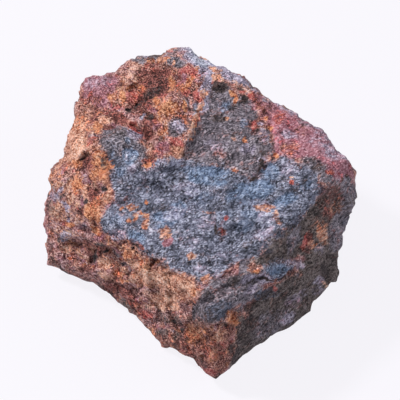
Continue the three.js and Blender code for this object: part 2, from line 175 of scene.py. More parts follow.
PLATES = [
    Plate("tarnished dish", -1, 3.5, [
        (-28, 17.5), (-16, 8.5), (-7, 13), (0, 10.5), (17.5, 7.5), (22, 13), (27, 11), (38, 7), (35, 1.5),
        (29, -3), (20, -12), (7, -18), (-5, -18), (-17.5, -14.5), (-25.5, -8.5), (-30, -0.5),
    ]),
    Plate("dark plate", -0.9, 1.6, [
        (3, 40.5), (13, 34), (20.5, 29), (23, 17), (17.5, 8), (0, 10.5), (-4.5, 14), (-0.5, 26),
        (1.5, 33.5),
    ]),
    Plate("red plate", 0.7, 1.4, [
        (21, 31), (32, 28.5), (44, 19.5), (48, 10.5), (38, 10), (30.5, 14), (23, 17),
    ]),
    Plate("grey blade", 1.8, 1, [
        (-3, -35.5), (1.5, -30.5), (8, -26.5), (14.5, -24.5), (24, -21), (32.5, -18), (27, -23.5),
        (20, -28), (13, -31.5), (7, -36), (1.5, -38),
    ]),
    Plate("slate lens", 1.2, 0.8, [
        (17.5, -20), (24, -17), (30, -18), (30.5, -21), (24, -23), (18.5, -22),
    ]),
    Plate("recess under the left ledge", -2.6, 1.3, [
        (-46, -13), (-42, -12), (-35, -12.5), (-28, -13.5), (-24.5, -17), (-26, -21), (-32, -20),
        (-38.5, -18), (-44, -16),
    ]),
    Plate("cube block", 1.8, 0.9, [
        (-27, -24.5), (-22.5, -23), (-20, -25.5), (-21, -29), (-25, -29.5),
    ]),
    Plate("crest band", 0.7, 1.8, [
        (-7, 51), (0, 48.5), (7, 44.5), (14.5, 40.5), (13, 37), (7, 39.5), (3, 40.5), (-1.5, 44),
        (-6, 46.5),
    ]),
    Plate("shelf along the right wall", -1, 1.5, [
        (4.5, -21), (11, -19.5), (16, -15.5), (24.5, -10), (36.5, 1.5), (46.5, 8.5), (46.5, -3), (32, -18),
        (20, -22), (8, -27), (0, -30.5),
    ]),
    Plate("bevel below the dish", -0.8, 2, [
        (-49.5, -19), (-41, -11), (-30.5, -6.5), (-24, -11), (-17.5, -16.5), (-5, -22.5), (0, -30.5),
        (-16, -21), (-25.5, -18),
    ]),
    Plate("flake scar above the tip", -1, 1.4, [
        (-19, -30.5), (-11, -32.5), (-3, -36), (-1.5, -45), (-8, -46.5), (-16, -39.5), (-22.5, -33.5),
    ]),
    Plate("pink slope", 0.8, 1.6, [
        (-16, 8.5), (-5, 17.5), (0, 26), (1.5, 33.5), (-3, 33.5), (-9, 27), (-14, 23.5), (-16.5, 18),
    ]),
    Plate("brow over the left ledge", 0.9, 1.2, [
        (-34.5, -8.5), (-28, -10.5), (-23, -14.5), (-25.5, -16.5), (-32, -14),
    ]),
]
HOLLOWS = [
    Hollow((-12, 40), (8, 5), -22, 3.6),
    Hollow((-18, 35.5), (5.5, 3), -48, 2.8),
    Hollow((-20, 31.5), (4, 2.2), -40, 2.6),
    Hollow((-10, 31.5), (4.4, 3.8), 20, -2.4),
    Hollow((-20, 23.5), (5, 2.4), -45, 2.2),
    Hollow((-25, 20.5), (7, 4), -35, -1.3),
    Hollow((6, 37), (3, 2.6), 60, 1.5),
    Hollow((-46.5, 9), (3.2, 3), 0, -1.4),
    Hollow((-37, 14.5), (2.4, 1.7), 30, 2.2),
    Hollow((-32, 8.5), (3.6, 3.2), 0, -1.3),
    Hollow((41.5, -19), (3.4, 2.4), 30, 1.8),
    Hollow((-33, 38.5), (5.5, 4), 20, -1.8),
    Hollow((41.5, 1.5), (6, 3.5), 40, 1.4),
    Hollow((1.5, 0), (8, 4), 25, 0.8),
    Hollow((-15, 6), (8, 3.5), -15, 1),
    Hollow((11, -9.5), (9, 4), 20, 0.8),
    Hollow((13, 19), (7, 5), 20, -0.9),
    Hollow((-41.5, 20), (3.5, 8), -15, -1),
    Hollow((-9.5, -25), (7, 4), -30, -1),
    Hollow((32, -9.5), (8, 3), 40, 0.9),
    Hollow((-28, 28), (5, 3), 60, 1.2),
    Hollow((-40, 0), (6, 4), 10, -1),
    Hollow((-44, -6.5), (4, 3), 0, 0.9),
    Hollow((-19, 0), (5, 3), -20, -0.7),
    Hollow((35, 17.5), (5, 3), -30, -0.8),
    Hollow((27, 28), (4, 2), -35, 0.8),
    Hollow((-23, 42.5), (5, 4), 20, -1),
    Hollow((-3, 44.5), (5, 3), -30, -0.8),
    Hollow((-6, 37), (4, 3), 50, -1),
    Hollow((-25.5, -18), (4, 2), -30, -1),
    Hollow((-38.5, -20), (5, 2), -10, -1.2),
    Hollow((5, -45), (6, 4), 50, -0.8),
    Hollow((24, -33.5), (8, 4), 30, 0.8),
    Hollow((16.5, -34), (3, 4), 20, 1.2),
    Hollow((32, -24), (7, 3), 35, -0.8),
]
RIDGES = [
    Ridge([(3, 41.5), (-0.5, 36), (-3, 30), (-8.5, 27), (-14, 23.5)], 0.9, 1.5),
    Ridge([(-1.5, 26), (-4, 21.5), (-5, 17.5), (-7.5, 14), (-13, 12)], 1, 1.4),
    Ridge([(-21, 47), (-23.5, 40), (-26, 33.5)], 1.2, 2),
    Ridge([(22, 13.5), (20, 11), (17.5, 7.5)], -0.8, 1.2),
    Ridge([(21, 30), (22.5, 23.5), (23, 17)], -0.8, 0.8),
    Ridge([(-24, -12), (-20, -13.5), (-17.5, -16.5), (-11, -20), (-5, -22.5)], -0.6, 0.9),
    Ridge([(-43, -12), (-35, -12.5), (-28, -13.5)], -1.2, 1),
    Ridge([(-13, -2), (-3, 1.5), (7, 5)], 0.5, 1.6),
    Ridge([(-16, -6.5), (-5, -4), (7, 0.5), (17.5, 3)], 0.5, 1.4),
    Ridge([(-3, -14.5), (8, -10.5), (19, -5.5), (27, 0)], 0.6, 1.6),
    Ridge([(-1.5, -38), (8, -36), (14, -31.5), (22, -27), (29.5, -21)], -1.2, 0.9),
    Ridge([(13, -31.5), (10, -40), (6.5, -48.5), (5.5, -54.5)], 0.8, 1.6),
    Ridge([(32, -3), (38, 1), (45, 7.5)], 0.7, 1.5),
]
# the crumbly rusted ground, which breaks more coarsely than the rest
RUSTED_GROUND = [
    (-54.5, 46.5), (-19, 56), (1.5, 46.5), (-1.5, 33.5), (-3, 25.5), (-5, 17.5), (-16, 8.5), (-28, 17.5),
    (-29, 8.5), (-30.5, -6), (-19, -13), (-10, -20), (-1.5, -24.5), (0, -30.5), (-4.5, -34), (8, -37),
    (13, -31.5), (13, -40), (5, -59), (-57.5, -30.5),
]
# holes and cracks too small for the solid
FINE_HOLLOWS = [
    Hollow((6.5, -8), (1.5, 1.2), 0, 1), Hollow((9.5, -6.5), (1, 1), 0, 0.3),
    Hollow((-34, -16.5), (1.1, 3), -20, 2.2), Hollow((-23.5, 34), (2.6, 2), 0, -1.5),
    Hollow((-21.5, 39), (2.4, 2), 0, -1.2), Hollow((-37, 15), (2.2, 1.8), 20, -2.2),
    Hollow((-16, -22), (1.6, 2.6), 0, -1.2), Hollow((5, -22.5), (2.4, 2), 0, -1.2),
    Hollow((7, 37), (1.6, 1.8), 20, 1), Hollow((37.5, 13.5), (2, 1.2), 10, 0.9),
    Hollow((-29.5, -22), (3.2, 2), -25, -2),
]
FINE_RIDGES = [
    Ridge([(22, 13.5), (20, 11), (17.5, 7.5)], -0.5, 0.5),
    Ridge([(14.5, -25), (17.5, -22), (20, -22), (23, -22.5), (29.5, -20.5)], -1.6, 0.7),
    Ridge([(0, -28), (8, -23), (15, -20.5)], 0.8, 1.1), Ridge([(2, -32), (10, -27), (17, -24.5)], -0.8, 0.8),
    Ridge([(6, -33), (13, -28.5), (19, -25)], 0.7, 0.9),
    Ridge([(-21.5, 25.5), (-19, 22.5), (-16.5, 20)], -1, 0.6),
    Ridge([(21, 30), (22.5, 26.5), (22.5, 21)], -0.8, 0.5),
    Ridge([(-18, -15), (-14, -17.5), (-10.5, -19.5)], -0.5, 0.6),
    Ridge([(-22.5, 29.5), (-19.5, 32), (-17.5, 34.5)], -2.4, 0.9),
    Ridge([(-17, 27.5), (-14.5, 27)], -1.4, 0.5),
    Ridge([(-19, 26), (-16, 25), (-13, 23)], 1, 0.7),
    Ridge([(-19, 24), (-17, 21.5)], -1.3, 0.8),
    Ridge([(-32, -10.5), (-30, -12), (-28, -14)], -1.4, 0.7),
    Ridge([(-38.5, 13.5), (-35.5, 15.5)], -1.5, 0.6), Ridge([(-24, -29.5), (-21, -27.5)], -0.9, 0.6),
    Ridge([(-29, -27), (-26, -29.5)], -0.8, 0.6),
    Ridge([(10, 0), (13, 5), (14.5, 7)], -0.5, 0.7),
    Ridge([(-43, -11), (-40, -12), (-37, -11)], -1.1, 0.6), Ridge([(-31.5, -15), (-29, -13.5)], -1, 0.5),
    Ridge([(-7, -4), (-4, -6.5)], -0.6, 0.6),
    Ridge([(-17, 9.5), (-12, 8), (-7, 7)], 1.0, 1.6), Ridge([(-17, 5.5), (-10, 4)], -0.7, 1.6),
    Ridge([(3, 41), (-0.5, 36), (-3, 30)], -0.6, 1.6),
    Ridge([(6, 38), (3.5, 33), (2, 28), (0, 22)], 0.9, 3.2),
    Ridge([(-16, 1.5), (-11, 0.5)], -0.6, 0.7),
    Ridge([(-12.5, 44.5), (-5, 43.5)], -0.9, 0.6),
]
# ---- colour: the large areas of each mineral on the display side
# the slate above the left end of the dish, where two minerals mix
UPPER_SLATE = [
    (-30, 23.5), (-27.5, 24.5), (-26, 26), (-24.5, 27), (-22, 25), (-19, 22.5), (-17, 20), (-18, 17),
    (-16, 14.5), (-19, 11), (-26, 12), (-29, 16), (-31.5, 19),
]
FIELDS = [
    Field(Mineral.TARNISH, 0.88, [
        (-28, 17), (-25, 14.5), (-20, 12), (-16, 12), (-12, 14.5), (-6.5, 15), (0, 14.5), (7, 12),
        (13, 8.5), (18, 8), (21, 12.5), (26.5, 15.5), (32, 12.5), (38, 8), (36.5, 2), (31.5, -2),
        (26, -6.5), (20.5, -12), (14.5, -16), (7, -20), (1, -24), (-5, -21.5), (-11, -18), (-16.5, -15.5),
        (-20, -12), (-25.5, -9), (-30, -6.5), (-29, -0.5), (-28, 5), (-28, 11),
    ]),
    Field(Mineral.TARNISH, 0.88, [
        (19, -18.5), (24, -16.5), (29.5, -17.5), (29, -21), (24.5, -23), (20, -22),
    ]),
    Field(Mineral.GRAPHITE, 0.88, UPPER_SLATE),
    Field(Mineral.TARNISH, 0.3, UPPER_SLATE),
    Field(Mineral.TARNISH, 0.7, [
        (-3.5, 33.5), (-0.5, 35), (2, 32.5), (0, 27), (-2.5, 26.5), (-3, 31),
    ]),
    Field(Mineral.GRAPHITE, 0.88, [
        (1.5, 34), (4, 38.5), (7, 39.5), (10, 35.5), (14, 34.5), (17, 31.5), (17.5, 28), (15, 24.5),
        (16, 21.5), (20.5, 21.5), (23, 22.5), (23, 17.5), (20.5, 14.5), (20, 10.5), (17.5, 8), (11, 8),
        (7.5, 12), (1.5, 13), (-4.5, 14), (-5, 17.5), (-3.5, 21), (-1.5, 24.5), (0.5, 30),
    ]),
    Field(Mineral.GRAPHITE, 0.8, [
        (30.5, 16.5), (36, 17), (40, 15.5), (44, 10.5), (41.5, 6), (36, 6.5), (32, 10.5),
    ]),
    Field(Mineral.GRAPHITE, 0.88, [
        (43, 8.5), (49.5, 8.5), (49.5, -3), (48, -13.5), (41.5, -14.5), (40, -6.5), (44, 0),
    ]),
    Field(Mineral.GRAPHITE, 0.85, [
        (-2.5, -34.5), (-2, -31), (0, -26.5), (4.5, -22.5), (11.5, -20), (20, -21.5), (20, -25.5),
        (13, -30.5), (7, -34), (1.5, -36),
    ]),
    Field(Mineral.RASPBERRY, 0.88, [
        (15.5, 35), (20.5, 34), (27, 31), (33.5, 28.5), (41.5, 22.5), (46.5, 17.5), (49.5, 11), (48.5, 8),
        (41.5, 9.5), (39, 13), (32, 15.5), (26, 15.5), (23.5, 16.5), (23.5, 22.5), (20, 29), (16, 31.5),
    ]),
    Field(Mineral.RASPBERRY, 0.85, [
        (-38.5, 41.5), (-30.5, 42), (-26, 40.5), (-27.5, 36), (-30, 31), (-33.5, 31.5), (-36.5, 34),
    ]),
    Field(Mineral.LILAC, 1, [
        (-7.5, 50.5), (-3, 50), (7, 44.5), (14.5, 40.5), (20, 35), (18.5, 35), (13, 38), (7, 40), (2, 40),
        (-1.5, 44), (-5, 47),
    ]),
    Field(Mineral.LILAC, 0.65, [
        (18.5, 36), (23.5, 33.5), (32, 30), (41.5, 23), (48, 15), (46.5, 14.5), (39.5, 21), (31.5, 28),
        (22.5, 31.5),
    ]),
    Field(Mineral.UMBER, 0.88, [
        (47.5, 8.5), (52.5, 6), (52.5, -5.5), (49.5, -14.5), (49.5, -26), (43, -31), (37, -37), (29, -42),
        (20, -47.5), (14, -54.5), (8.5, -58.5), (9.5, -47), (11.5, -40.5), (13.5, -32), (20, -26.5),
        (25, -23.5), (30.5, -21), (29, -16.5), (17.5, -18), (14.5, -16), (20, -12), (25.5, -7.5),
        (29.5, -3), (36, 1.5), (39, 5.5),
    ]),
    Field(Mineral.MAROON, 0.6, [
        (-4.5, -36), (1.5, -37.5), (7, -36), (12, -32.5), (13, -37.5), (9.5, -42), (8.5, -48.5), (5.5, -55),
        (1.5, -51.5), (-3, -47.5), (-9, -44.5), (-7.5, -40),
    ]),
    # the maroon of the big hollow under the crest, darkened further there as painted shade
    Field(Mineral.MAROON, 0.95, [
        (-17.5, 44.5), (-13, 44.5), (-9, 43), (-10, 40.5), (-9.5, 37), (-13.5, 35), (-16.5, 35),
        (-18.5, 37.5), (-17.5, 40.5),
    ]),
    Field(Mineral.MAROON, 0.5, [
        (38, 6), (43, 7.5), (45.5, 3), (44, -2.5), (39, -5), (36, -4), (35, 0),
    ]),
    # painted shade in the recess under the left ledge
    Field(Mineral.MAROON, 0.6, [
        (-44, -11), (-38, -10.5), (-32, -11), (-27.5, -11), (-27, -14.5), (-32, -18), (-36, -18),
        (-38.5, -14.5), (-43.5, -14),
    ]),
]
# the small patches: across, up, half length, half width, strength and any turn in degrees
SPOTS: dict[Mineral, list[tuple[float, ...]]] = {
    Mineral.UMBER: [
        (-9, -35.5, 6.5, 2.6, 0.5, -20), (13, -38.5, 2.4, 6, 0.85, 10), (-12, -40, 2.6, 2, 0.75, -20),
        (-23, -1.5, 3, 1.4, 0.4, -20), (-23, -31.5, 4, 2, 0.7, -35), (-7.5, -44, 2.4, 1.4, 0.6, -30),
        (-3, -44.5, 2, 2.4, 0.4), (-25, 2.5, 3, 2, 0.6), (-21.5, 0.5, 3, 1.6, 0.85),
        (19.5, -27, 3, 2, 0.4, 20), (-13, 21, 1, 1, 0.7), (-7, 45, 4, 1.8, 0.6, -10),
    ],
    Mineral.GRAPHITE: [
        (22.5, -37, 9, 4, 0.6, 30), (-7, 24, 3.2, 3.4, 0.9), (-8.5, 46, 3.8, 1.8, 0.95, -12),
        (-33.5, -8.5, 2.2, 1.4, 0.6), (-26, 5, 3.4, 2.6, 0.5), (-20, 47, 2.2, 1.4, 0.8),
        (-24, -18, 1.5, 0.9, 0.6, -10), (-38.5, -4, 1.2, 1, 0.5), (-15, 36, 1.2, 1.6, 0.7),
        (29, -10, 1.8, 5, 0.75, -10), (-30.5, 5, 1.6, 1.2, 0.7), (-16.5, -0.5, 2.4, 2, 0.6),
        (11, 9.5, 3.6, 2.4, 0.8), (1.5, -27, 3, 2, 0.6, 30), (14.5, -5, 3, 1.6, 0.7, 10),
        (33, 9, 2, 2, 0.6), (-7.5, 22, 2.4, 1.6, 0.75), (6, 9, 3, 1.4, 0.35), (37.5, 4.5, 2.4, 2, 0.6),
        (28.5, 4.5, 3, 1.6, 0.5, 30),
    ],
    Mineral.ROSE: [
        (22.5, -2, 4, 3, 0.6), (-11, -9.5, 3, 3.4, 0.7), (16, 36, 4, 1.4, 0.5, -35),
        (-26, 44, 6, 2.4, 0.6, 25), (-46, -2, 4, 7, 1, -5), (-38.5, -7.5, 5, 4, 0.95),
        (-43.5, -16.5, 2.6, 2.6, 0.9, 10), (-30.5, -19.5, 2.6, 4.4, 0.95, -25),
        (-23.5, -27, 2.6, 3.4, 0.85, -25), (-48, -14.5, 3, 4, 0.6, -10), (-35, -22.5, 5, 2.4, 0.6, -25),
        (-16, -35, 4, 2.4, 0.8, -30), (-18, -28, 3.4, 2.4, 0.6, -20), (-4.5, -31.5, 3, 2.6, 0.7, 20),
        (-13, 19, 4.4, 3.4, 0.5), (-21, 28.5, 4.5, 1.6, 0.7, -20), (-1.5, 44.5, 4, 2, 0.5, -30),
        (-41, 27, 2, 6, 0.4, -20), (5, 16, 6, 1.6, 0.4), (-21, -7.5, 3, 2, 0.3), (-22, 42, 3, 4, 0.6, 20),
        (6.5, -27, 3, 2, 0.4, 20), (-9, 33.5, 3.4, 2.4, 0.6), (-25.5, 4.5, 2.4, 1.6, 0.5),
        (7, -25, 2, 1, 0.3, 20), (-36, 11, 2.4, 2, 0.6), (10, 10.5, 1.6, 1.4, 0.6),
        (27, -3, 3, 1.4, 0.5, 20), (31, -17, 2.6, 1.8, 0.6, 20), (5, -42, 4, 3, 0.35),
        (21, -24, 2.6, 1, 0.5, -10),
    ],
    Mineral.TAN: [
        (-22, 0, 2.6, 1.4, 0.45, -10), (-36, 20, 1.6, 1.8, 0.7), (-20, -22.5, 3, 2.4, 0.7, -20),
        (-39.5, 21.5, 3, 10, 0.8, -15), (-30, 9, 1.6, 3, 0.9), (37.5, -13.5, 2, 2.4, 0.25),
        (38.5, -8.5, 2.2, 4.2, 0.6, 15), (43, 0, 2.6, 2.4, 0.45), (35, -12, 1.6, 1.4, 0.5),
        (-23, -2, 3, 2, 0.25), (-21, -4.5, 2.4, 1.6, 0.3), (0, 32.5, 1, 4, 0.6, -20),
        (6, -40.5, 3, 2.4, 0.5), (-38.5, 9, 2, 2.4, 0.6), (-34, -4.5, 2, 2, 0.5),
        (33, -31.5, 3, 1.6, 0.2, 30), (-34, -13.5, 2.4, 1.6, 0.4), (-1.5, 26.5, 1, 3.4, 0.8, -20),
        (-2.5, 22.5, 1.6, 4, 0.5, -20), (-36.5, 30, 2.6, 5, 0.4, -30), (-45, 14.5, 2.6, 3.6, 0.6, -20),
        (-25.5, 36, 3.4, 2, 0.5, 40), (-23.5, 40, 2, 2, 0.5), (-21, 44.5, 2, 2.6, 0.5, 30),
        (-9, -23.5, 9, 4, 0.85, -20), (-16, -21, 5, 2.6, 0.8, -30), (-11, -30, 5, 2.4, 0.8, -20),
        (-4, -25.5, 3, 4, 0.7, 10), (-20.5, -15.5, 3, 1.8, 0.7, -30), (-26, -12, 4, 1.2, 0.6, -25),
        (-7.5, 17.5, 2.6, 3, 0.7, 30), (-14, 32.5, 1.6, 2.6, 0.7, 10), (-29, 5, 1, 2, 0.8),
        (-30, 2, 1.4, 2, 0.7, -20), (-41, 5.5, 1.6, 3, 0.6), (-45, -7.5, 2.6, 1.6, 0.5),
        (20, -0.5, 3, 1.4, 0.6, 5), (23.5, -3, 1.2, 3, 0.55, 15), (-11, -8.5, 1.8, 2.6, 0.65),
        (-45, -2, 3, 4, 0.7), (-30.5, -18, 2.4, 3, 0.6, -25), (-16, -22, 3, 3, 0.7, -20),
        (-29.5, -22, 3, 2, 0.5, -30), (-2.5, -15.5, 1.6, 1.4, 0.7, 20), (1.5, -22, 1.8, 1, 0.9, 25),
        (11, 20.5, 1.4, 1, 0.35), (-17, -5.5, 1, 2, 0.7, -8), (-20, -3, 1.4, 1, 0.6, -20),
        (-16.5, -4, 1.3, 2.2, 0.6, -8), (28, 18, 3, 2.4, 0.5, 20), (-19, -30.5, 2, 1, 0.3),
    ],
    Mineral.TARNISH: [
        (-7.5, 13.5, 3, 1.4, 0.7), (-4.5, 32.5, 1, 3, 0.5),
    ],
    Mineral.BLUE: [
        (-22, 15.5, 2.4, 2.6, 1, -10), (-27, 16.5, 1, 2.4, 0.4), (-25.5, -4, 3, 3, 0.4, 10),
        (2.5, 9.5, 7, 3.2, 0.85, -5), (-2.5, 11, 5, 1.8, 0.5, -5), (-3, 4.5, 3, 2, 0.4),
        (12, 4, 5, 3, 0.7, 20), (10.5, 0, 3, 2, 0.5), (18.5, 5, 6, 3, 0.8, 10), (-9, -2, 5.4, 2.4, 1, 15),
        (0, 1.5, 6, 3, 0.4, 10), (26, 1.5, 6, 2, 0.85, 30), (33, 6.5, 3, 2, 0.6, 20),
        (-20, -9.5, 3.4, 2, 0.7, -25), (-11, -5.5, 4, 1.6, 0.6, 10), (16, -2, 4, 3, 0.5),
        (7, -3, 4, 2, 0.4, 10), (-6.5, -15, 4, 1.6, 0.3, -10), (24.5, -19.5, 4.4, 1.8, 0.6, 10),
        (24, -22.5, 3, 1.2, 0.4, 10), (8, 31.5, 2.6, 2, 0.6), (14, 25.5, 2, 2, 0.5),
        (7, -32.5, 2, 1.4, 0.6, 30), (-25, 11, 2.4, 1.6, 0.55), (-23, 20, 0.9, 1.6, 0.5, 30),
        (22.5, 10.5, 3, 3, 0.6), (15.5, 1.5, 6, 2.4, 0.5, 10), (14, -6, 4, 2.6, 0.5, 10),
        (-14.5, 13.5, 2, 1.2, 0.7),
    ],
    # pale blue-lilac; the small strong dots are painted glints, and the crest's patches partly painted
    # highlight
    Mineral.PALE_BLUE_AND_HIGHLIGHT: [
        (1, -8.5, 0.8, 1.3, 1, 20), (-18, 28, 1.1, 0.6, 1, 20), (0.5, 46, 4.6, 1.8, 1, -35),
        (-3, 48.5, 2, 1.4, 0.6, -35), (5, 42, 3, 1.2, 0.6, -30), (-22, 15.5, 2, 2.2, 0.5, -10),
        (-8.5, -2.5, 3.8, 2.4, 0.8, 15), (-3, 4.5, 3, 2, 0.7), (-3, 0, 2.4, 1.6, 0.4),
        (-3, -4.5, 2.4, 1.6, 0.35), (-12, 9, 2.4, 1.6, 0.4), (-21, 4.5, 2.4, 1.6, 0.45),
        (19.5, -4.5, 2.4, 1.8, 0.6), (-16.5, 9, 2.4, 1.6, 0.6), (-7.5, 13.5, 3, 1.6, 0.7),
        (-3, -0.5, 2.6, 1.4, 0.6, 10), (24, 0, 2.4, 1.6, 0.5), (-13, 1.5, 1.6, 0.8, 0.5, 20),
        (-16, -7.5, 2.4, 1, 0.4, -20), (24.5, 3, 2.4, 1, 0.4, 20), (6, 40.5, 2.4, 1.2, 0.4, -30),
        (20.5, -2, 2.4, 1.6, 0.5, -10), (1.5, -4.5, 2.4, 1.6, 0.4), (-13, 9.5, 3, 1.4, 0.35, 10),
    ],
    # dark blue-grey patches on the slate; many are painted shade where its swells and the ridge leave it
    # darker
    Mineral.INK_AND_SHADE: [
        (46.5, -4.5, 2, 2, 0.45), (9.5, 6, 2.4, 1.8, 0.5), (-6.5, -0.5, 3, 1.8, 0.3),
        (16.5, -3.5, 2.4, 1.8, 0.3), (-13, 3, 2.4, 1.8, 0.35), (-11.5, -8, 2, 1.4, 0.3),
        (24, -27, 2.6, 1.4, 0.5, 20), (-36, 8, 1, 1.5, 0.4, 20), (-21, -4.5, 2.4, 2, 0.8),
        (-44, -10.5, 0.9, 0.6, 0.8), (15, -13.5, 3, 2, 0.7), (1.5, -9, 2.4, 1.6, 0.6),
        (-12, 0, 2.6, 1.4, 0.7), (-25.5, 13.5, 2.4, 2, 0.7), (3, -33.5, 3, 1.6, 0.6, 20),
        (19.5, -13.5, 3, 1.6, 0.6), (24, 4.5, 2.4, 1.6, 0.45), (37.5, 4.5, 2.4, 1.8, 0.7),
        (5, 0, 4, 2.4, 0.65), (2.5, 9, 6, 2, 0.35), (14.5, 1.5, 3, 2, 0.35), (10.5, 0, 2.4, 2, 0.6),
        (-25.5, 5, 3.6, 2.6, 0.3), (10.5, 9, 3, 2, 0.6), (24, -9, 2.4, 2, 0.7), (15, -4.5, 2.4, 1.4, 0.35),
        (-7.5, 8.5, 3, 1.6, 0.7), (-21, 0.5, 2.4, 1.4, 0.35), (-16.5, -0.5, 2.6, 2, 0.9),
        (10, -6.5, 5, 2.4, 0.4, 10), (-19, 5, 4, 2.4, 0.35), (14, -8.5, 4, 2, 0.35), (-26, 2, 2, 0.8, 0.6),
        (-11, -2.5, 0.8, 0.6, 0.6), (-4, -6, 1.4, 0.6, 0.6, -20), (11.5, 1.5, 0.8, 4, 0.5, -25),
        (6, -31.5, 4.6, 3, 1, 20), (-3, -18, 2.4, 1.6, 0.35), (33, 8, 2.6, 2, 0.6),
        (-12, -18, 2.4, 1.6, 0.6), (19.5, -27, 3, 1.8, 1, 20), (-7.5, -13.5, 2.4, 1.6, 0.7),
        (28.5, 4.5, 2.8, 1.8, 0.5), (6, -4.5, 3, 2, 0.3),
    ],
    Mineral.LILAC: [
        (15.5, 35.5, 2.2, 1.4, 0.5, -35), (28.5, -35.5, 3, 2, 0.6, 30), (33, -31.5, 3, 2, 0.3, 30),
        (37.5, -27, 2.6, 2, 0.35, 30), (-41, -3.5, 2.6, 2, 0.3), (18, 0.5, 4, 3, 0.5),
        (2, 37.5, 1.8, 4.4, 1, -20), (1, 32.5, 1.4, 4, 0.8, -20), (-9, -2.5, 4, 2.2, 0.5, 15),
        (39, 22, 4, 2, 0.5, -35), (-14, 11.5, 3, 1, 0.5, -10), (-45, 5, 2.8, 0.8, 0.7, 40),
        (-42, -4, 1, 0.8, 0.7), (-12, 13.5, 2.4, 1.4, 0.5), (19.5, -22.5, 3, 1.6, 0.7),
        (28.5, 22.5, 3, 2, 0.6), (28.5, -18, 3, 1.6, 0.55), (37.5, -13.5, 2.4, 2, 0.45),
        (19.5, 13.5, 2, 1.6, 0.5), (-43, 0, 2.6, 2.2, 0.8), (-37, -6.5, 1.6, 1.6, 0.5),
        (-45, -4.5, 1.6, 1.4, 0.4), (46.5, 9, 1.6, 2, 0.4), (-3, 22.5, 2, 2, 0.35),
        (30.5, -29, 5, 3, 0.42, 30), (38, -24, 2.6, 1.6, 0.5, 30), (27, -19, 1.6, 1, 0.4, 20),
        (6, 40.5, 2.8, 1.6, 0.7, -30), (28.5, -35, 4, 3, 0.3, 30), (37.5, -27, 3, 2, 0.25),
        (-33, 39.5, 5, 2.6, 0.4, 10), (-6.5, 24.5, 2.8, 3, 0.7), (19, 25.5, 1.6, 1.4, 0.6),
        (20, 22, 2.4, 2, 0.6), (-20.5, 22.5, 2.6, 2.2, 0.9), (24, 0, 2.4, 1.6, 0.6),
        (-25.5, -9, 2.8, 2, 0.7, -20), (14.5, 17.5, 3, 2, 0.6, 10), (15, -22.5, 3, 1.4, 0.6, 20),
        (6, -21, 3, 1.6, 0.4, 10), (-36, 8, 1.2, 1.6, 0.45), (-46.5, 3, 2.2, 1.6, 0.6),
        (-43, -9.5, 1.8, 1.5, 0.75), (-21, 12, 1.4, 1.6, 0.5), (4, 19, 5, 2.6, 0.45),
        (20.5, -3, 2.8, 1.6, 0.9, -10), (28, 12, 4, 3, 0.5), (20, -0.5, 3.4, 2, 0.7, 5),
        (20, -8.5, 4.4, 2.4, 0.5, 20), (38, 21, 5, 4.6, 0.4, -30), (42, 17.5, 4, 3.4, 0.55, -35),
        (-4.5, 5.5, 5, 2.4, 0.45, 15), (10, -15, 8, 2.6, 0.35, -5), (16, -25.5, 3, 1.2, 0.6, 25),
        (-2.5, -11, 5, 3, 0.4, 10), (-11.5, -6.5, 3, 1.2, 0.5, 10), (1.5, -5.5, 2.6, 2, 0.5),
        (0, 43, 2, 2.6, 0.7), (0, -19.5, 3, 1.6, 0.5, -10), (-24, -3.5, 2, 2, 0.4),
        (32, -18, 2.2, 1.2, 0.5, 20),
    ],
    Mineral.RASPBERRY: [
        (29, -30.5, 4, 2.6, 0.3, 30), (16, 36, 2, 1.2, 0.35, -30), (-32.5, 33.5, 2.6, 2.6, 0.8),
        (-15.5, 30.5, 2.4, 1.4, 0.8, -30), (-14.5, 25.5, 3, 1.6, 0.7, -20), (-12, 18, 3, 2.4, 0.8),
        (-29.5, 34, 2, 2, 0.6), (6, -4.5, 3, 2, 0.3), (6, -22.5, 3, 1.6, 0.35, 10), (32, 18, 4, 3, 0.4),
        (46.5, 13, 2, 4, 0.8, -20), (-45, -3, 2, 2.6, 0.6), (-10, -11.5, 2, 1.6, 0.9),
        (-45, -17, 1.6, 1.6, 0.5), (-46, 2, 2.4, 1, 0.5, 40),
    ],
    # the thin strokes among these lie in cracks and under ledges: painted shade
    Mineral.MAROON: [
        (-36.5, 27, 4.4, 2, 0.3), (6, -52, 3, 3, 0.3), (42, -9, 1.8, 1.8, 0.4), (-38, -13.5, 2.4, 1.2, 0.4),
        (-46, -15, 2, 1.2, 0.25), (-21, -31.5, 3, 2, 0.6, -20), (15, 27, 2.4, 2, 0.25),
        (-16.5, 31.5, 3, 2.2, 0.7), (-35, 35, 3, 3, 0.5), (-19, 40.5, 3, 3.4, 0.7),
        (21, 30.5, 3, 3, 0.5, -40), (-19.5, 32, 3.8, 1.3, 1, 42), (-24.5, -26.5, 4, 2.4, 0.7, -30),
        (-17.5, 36, 4, 3, 0.6), (-16, 27, 3, 2.4, 0.6), (-24.5, 1.5, 4, 2, 0.5), (4, -47, 4, 5, 0.6),
        (32, 24, 3, 2, 0.45, -30), (-41, -20, 4, 2, 0.35, -15), (-30, -27, 2.4, 1.6, 0.7, -20),
        (-12, 27, 2, 1.6, 0.35), (-25.5, -22.5, 2, 1.6, 0.6), (-32, 34, 2, 2, 0.6),
        (-16.5, 35, 4, 3, 0.8, 20), (-16, 31.5, 3, 1.6, 0.5, 20), (-11.5, 36, 2.4, 2, 0.75),
        (-34, 29, 2.8, 4, 0.65, -15), (-7.5, 40.5, 2.4, 1.6, 0.65, -20), (-25.5, 27.5, 3.4, 2.2, 0.85, -20),
        (-16, 14, 2.4, 1.6, 0.7), (-12, 17.5, 2.4, 2, 0.4), (-29.5, 14, 1.6, 2.4, 0.7),
        (-34.5, 13, 3, 2.6, 0.85, -20), (-34, 4, 2, 2.4, 0.8), (-30, 4, 1.6, 1.4, 0.4),
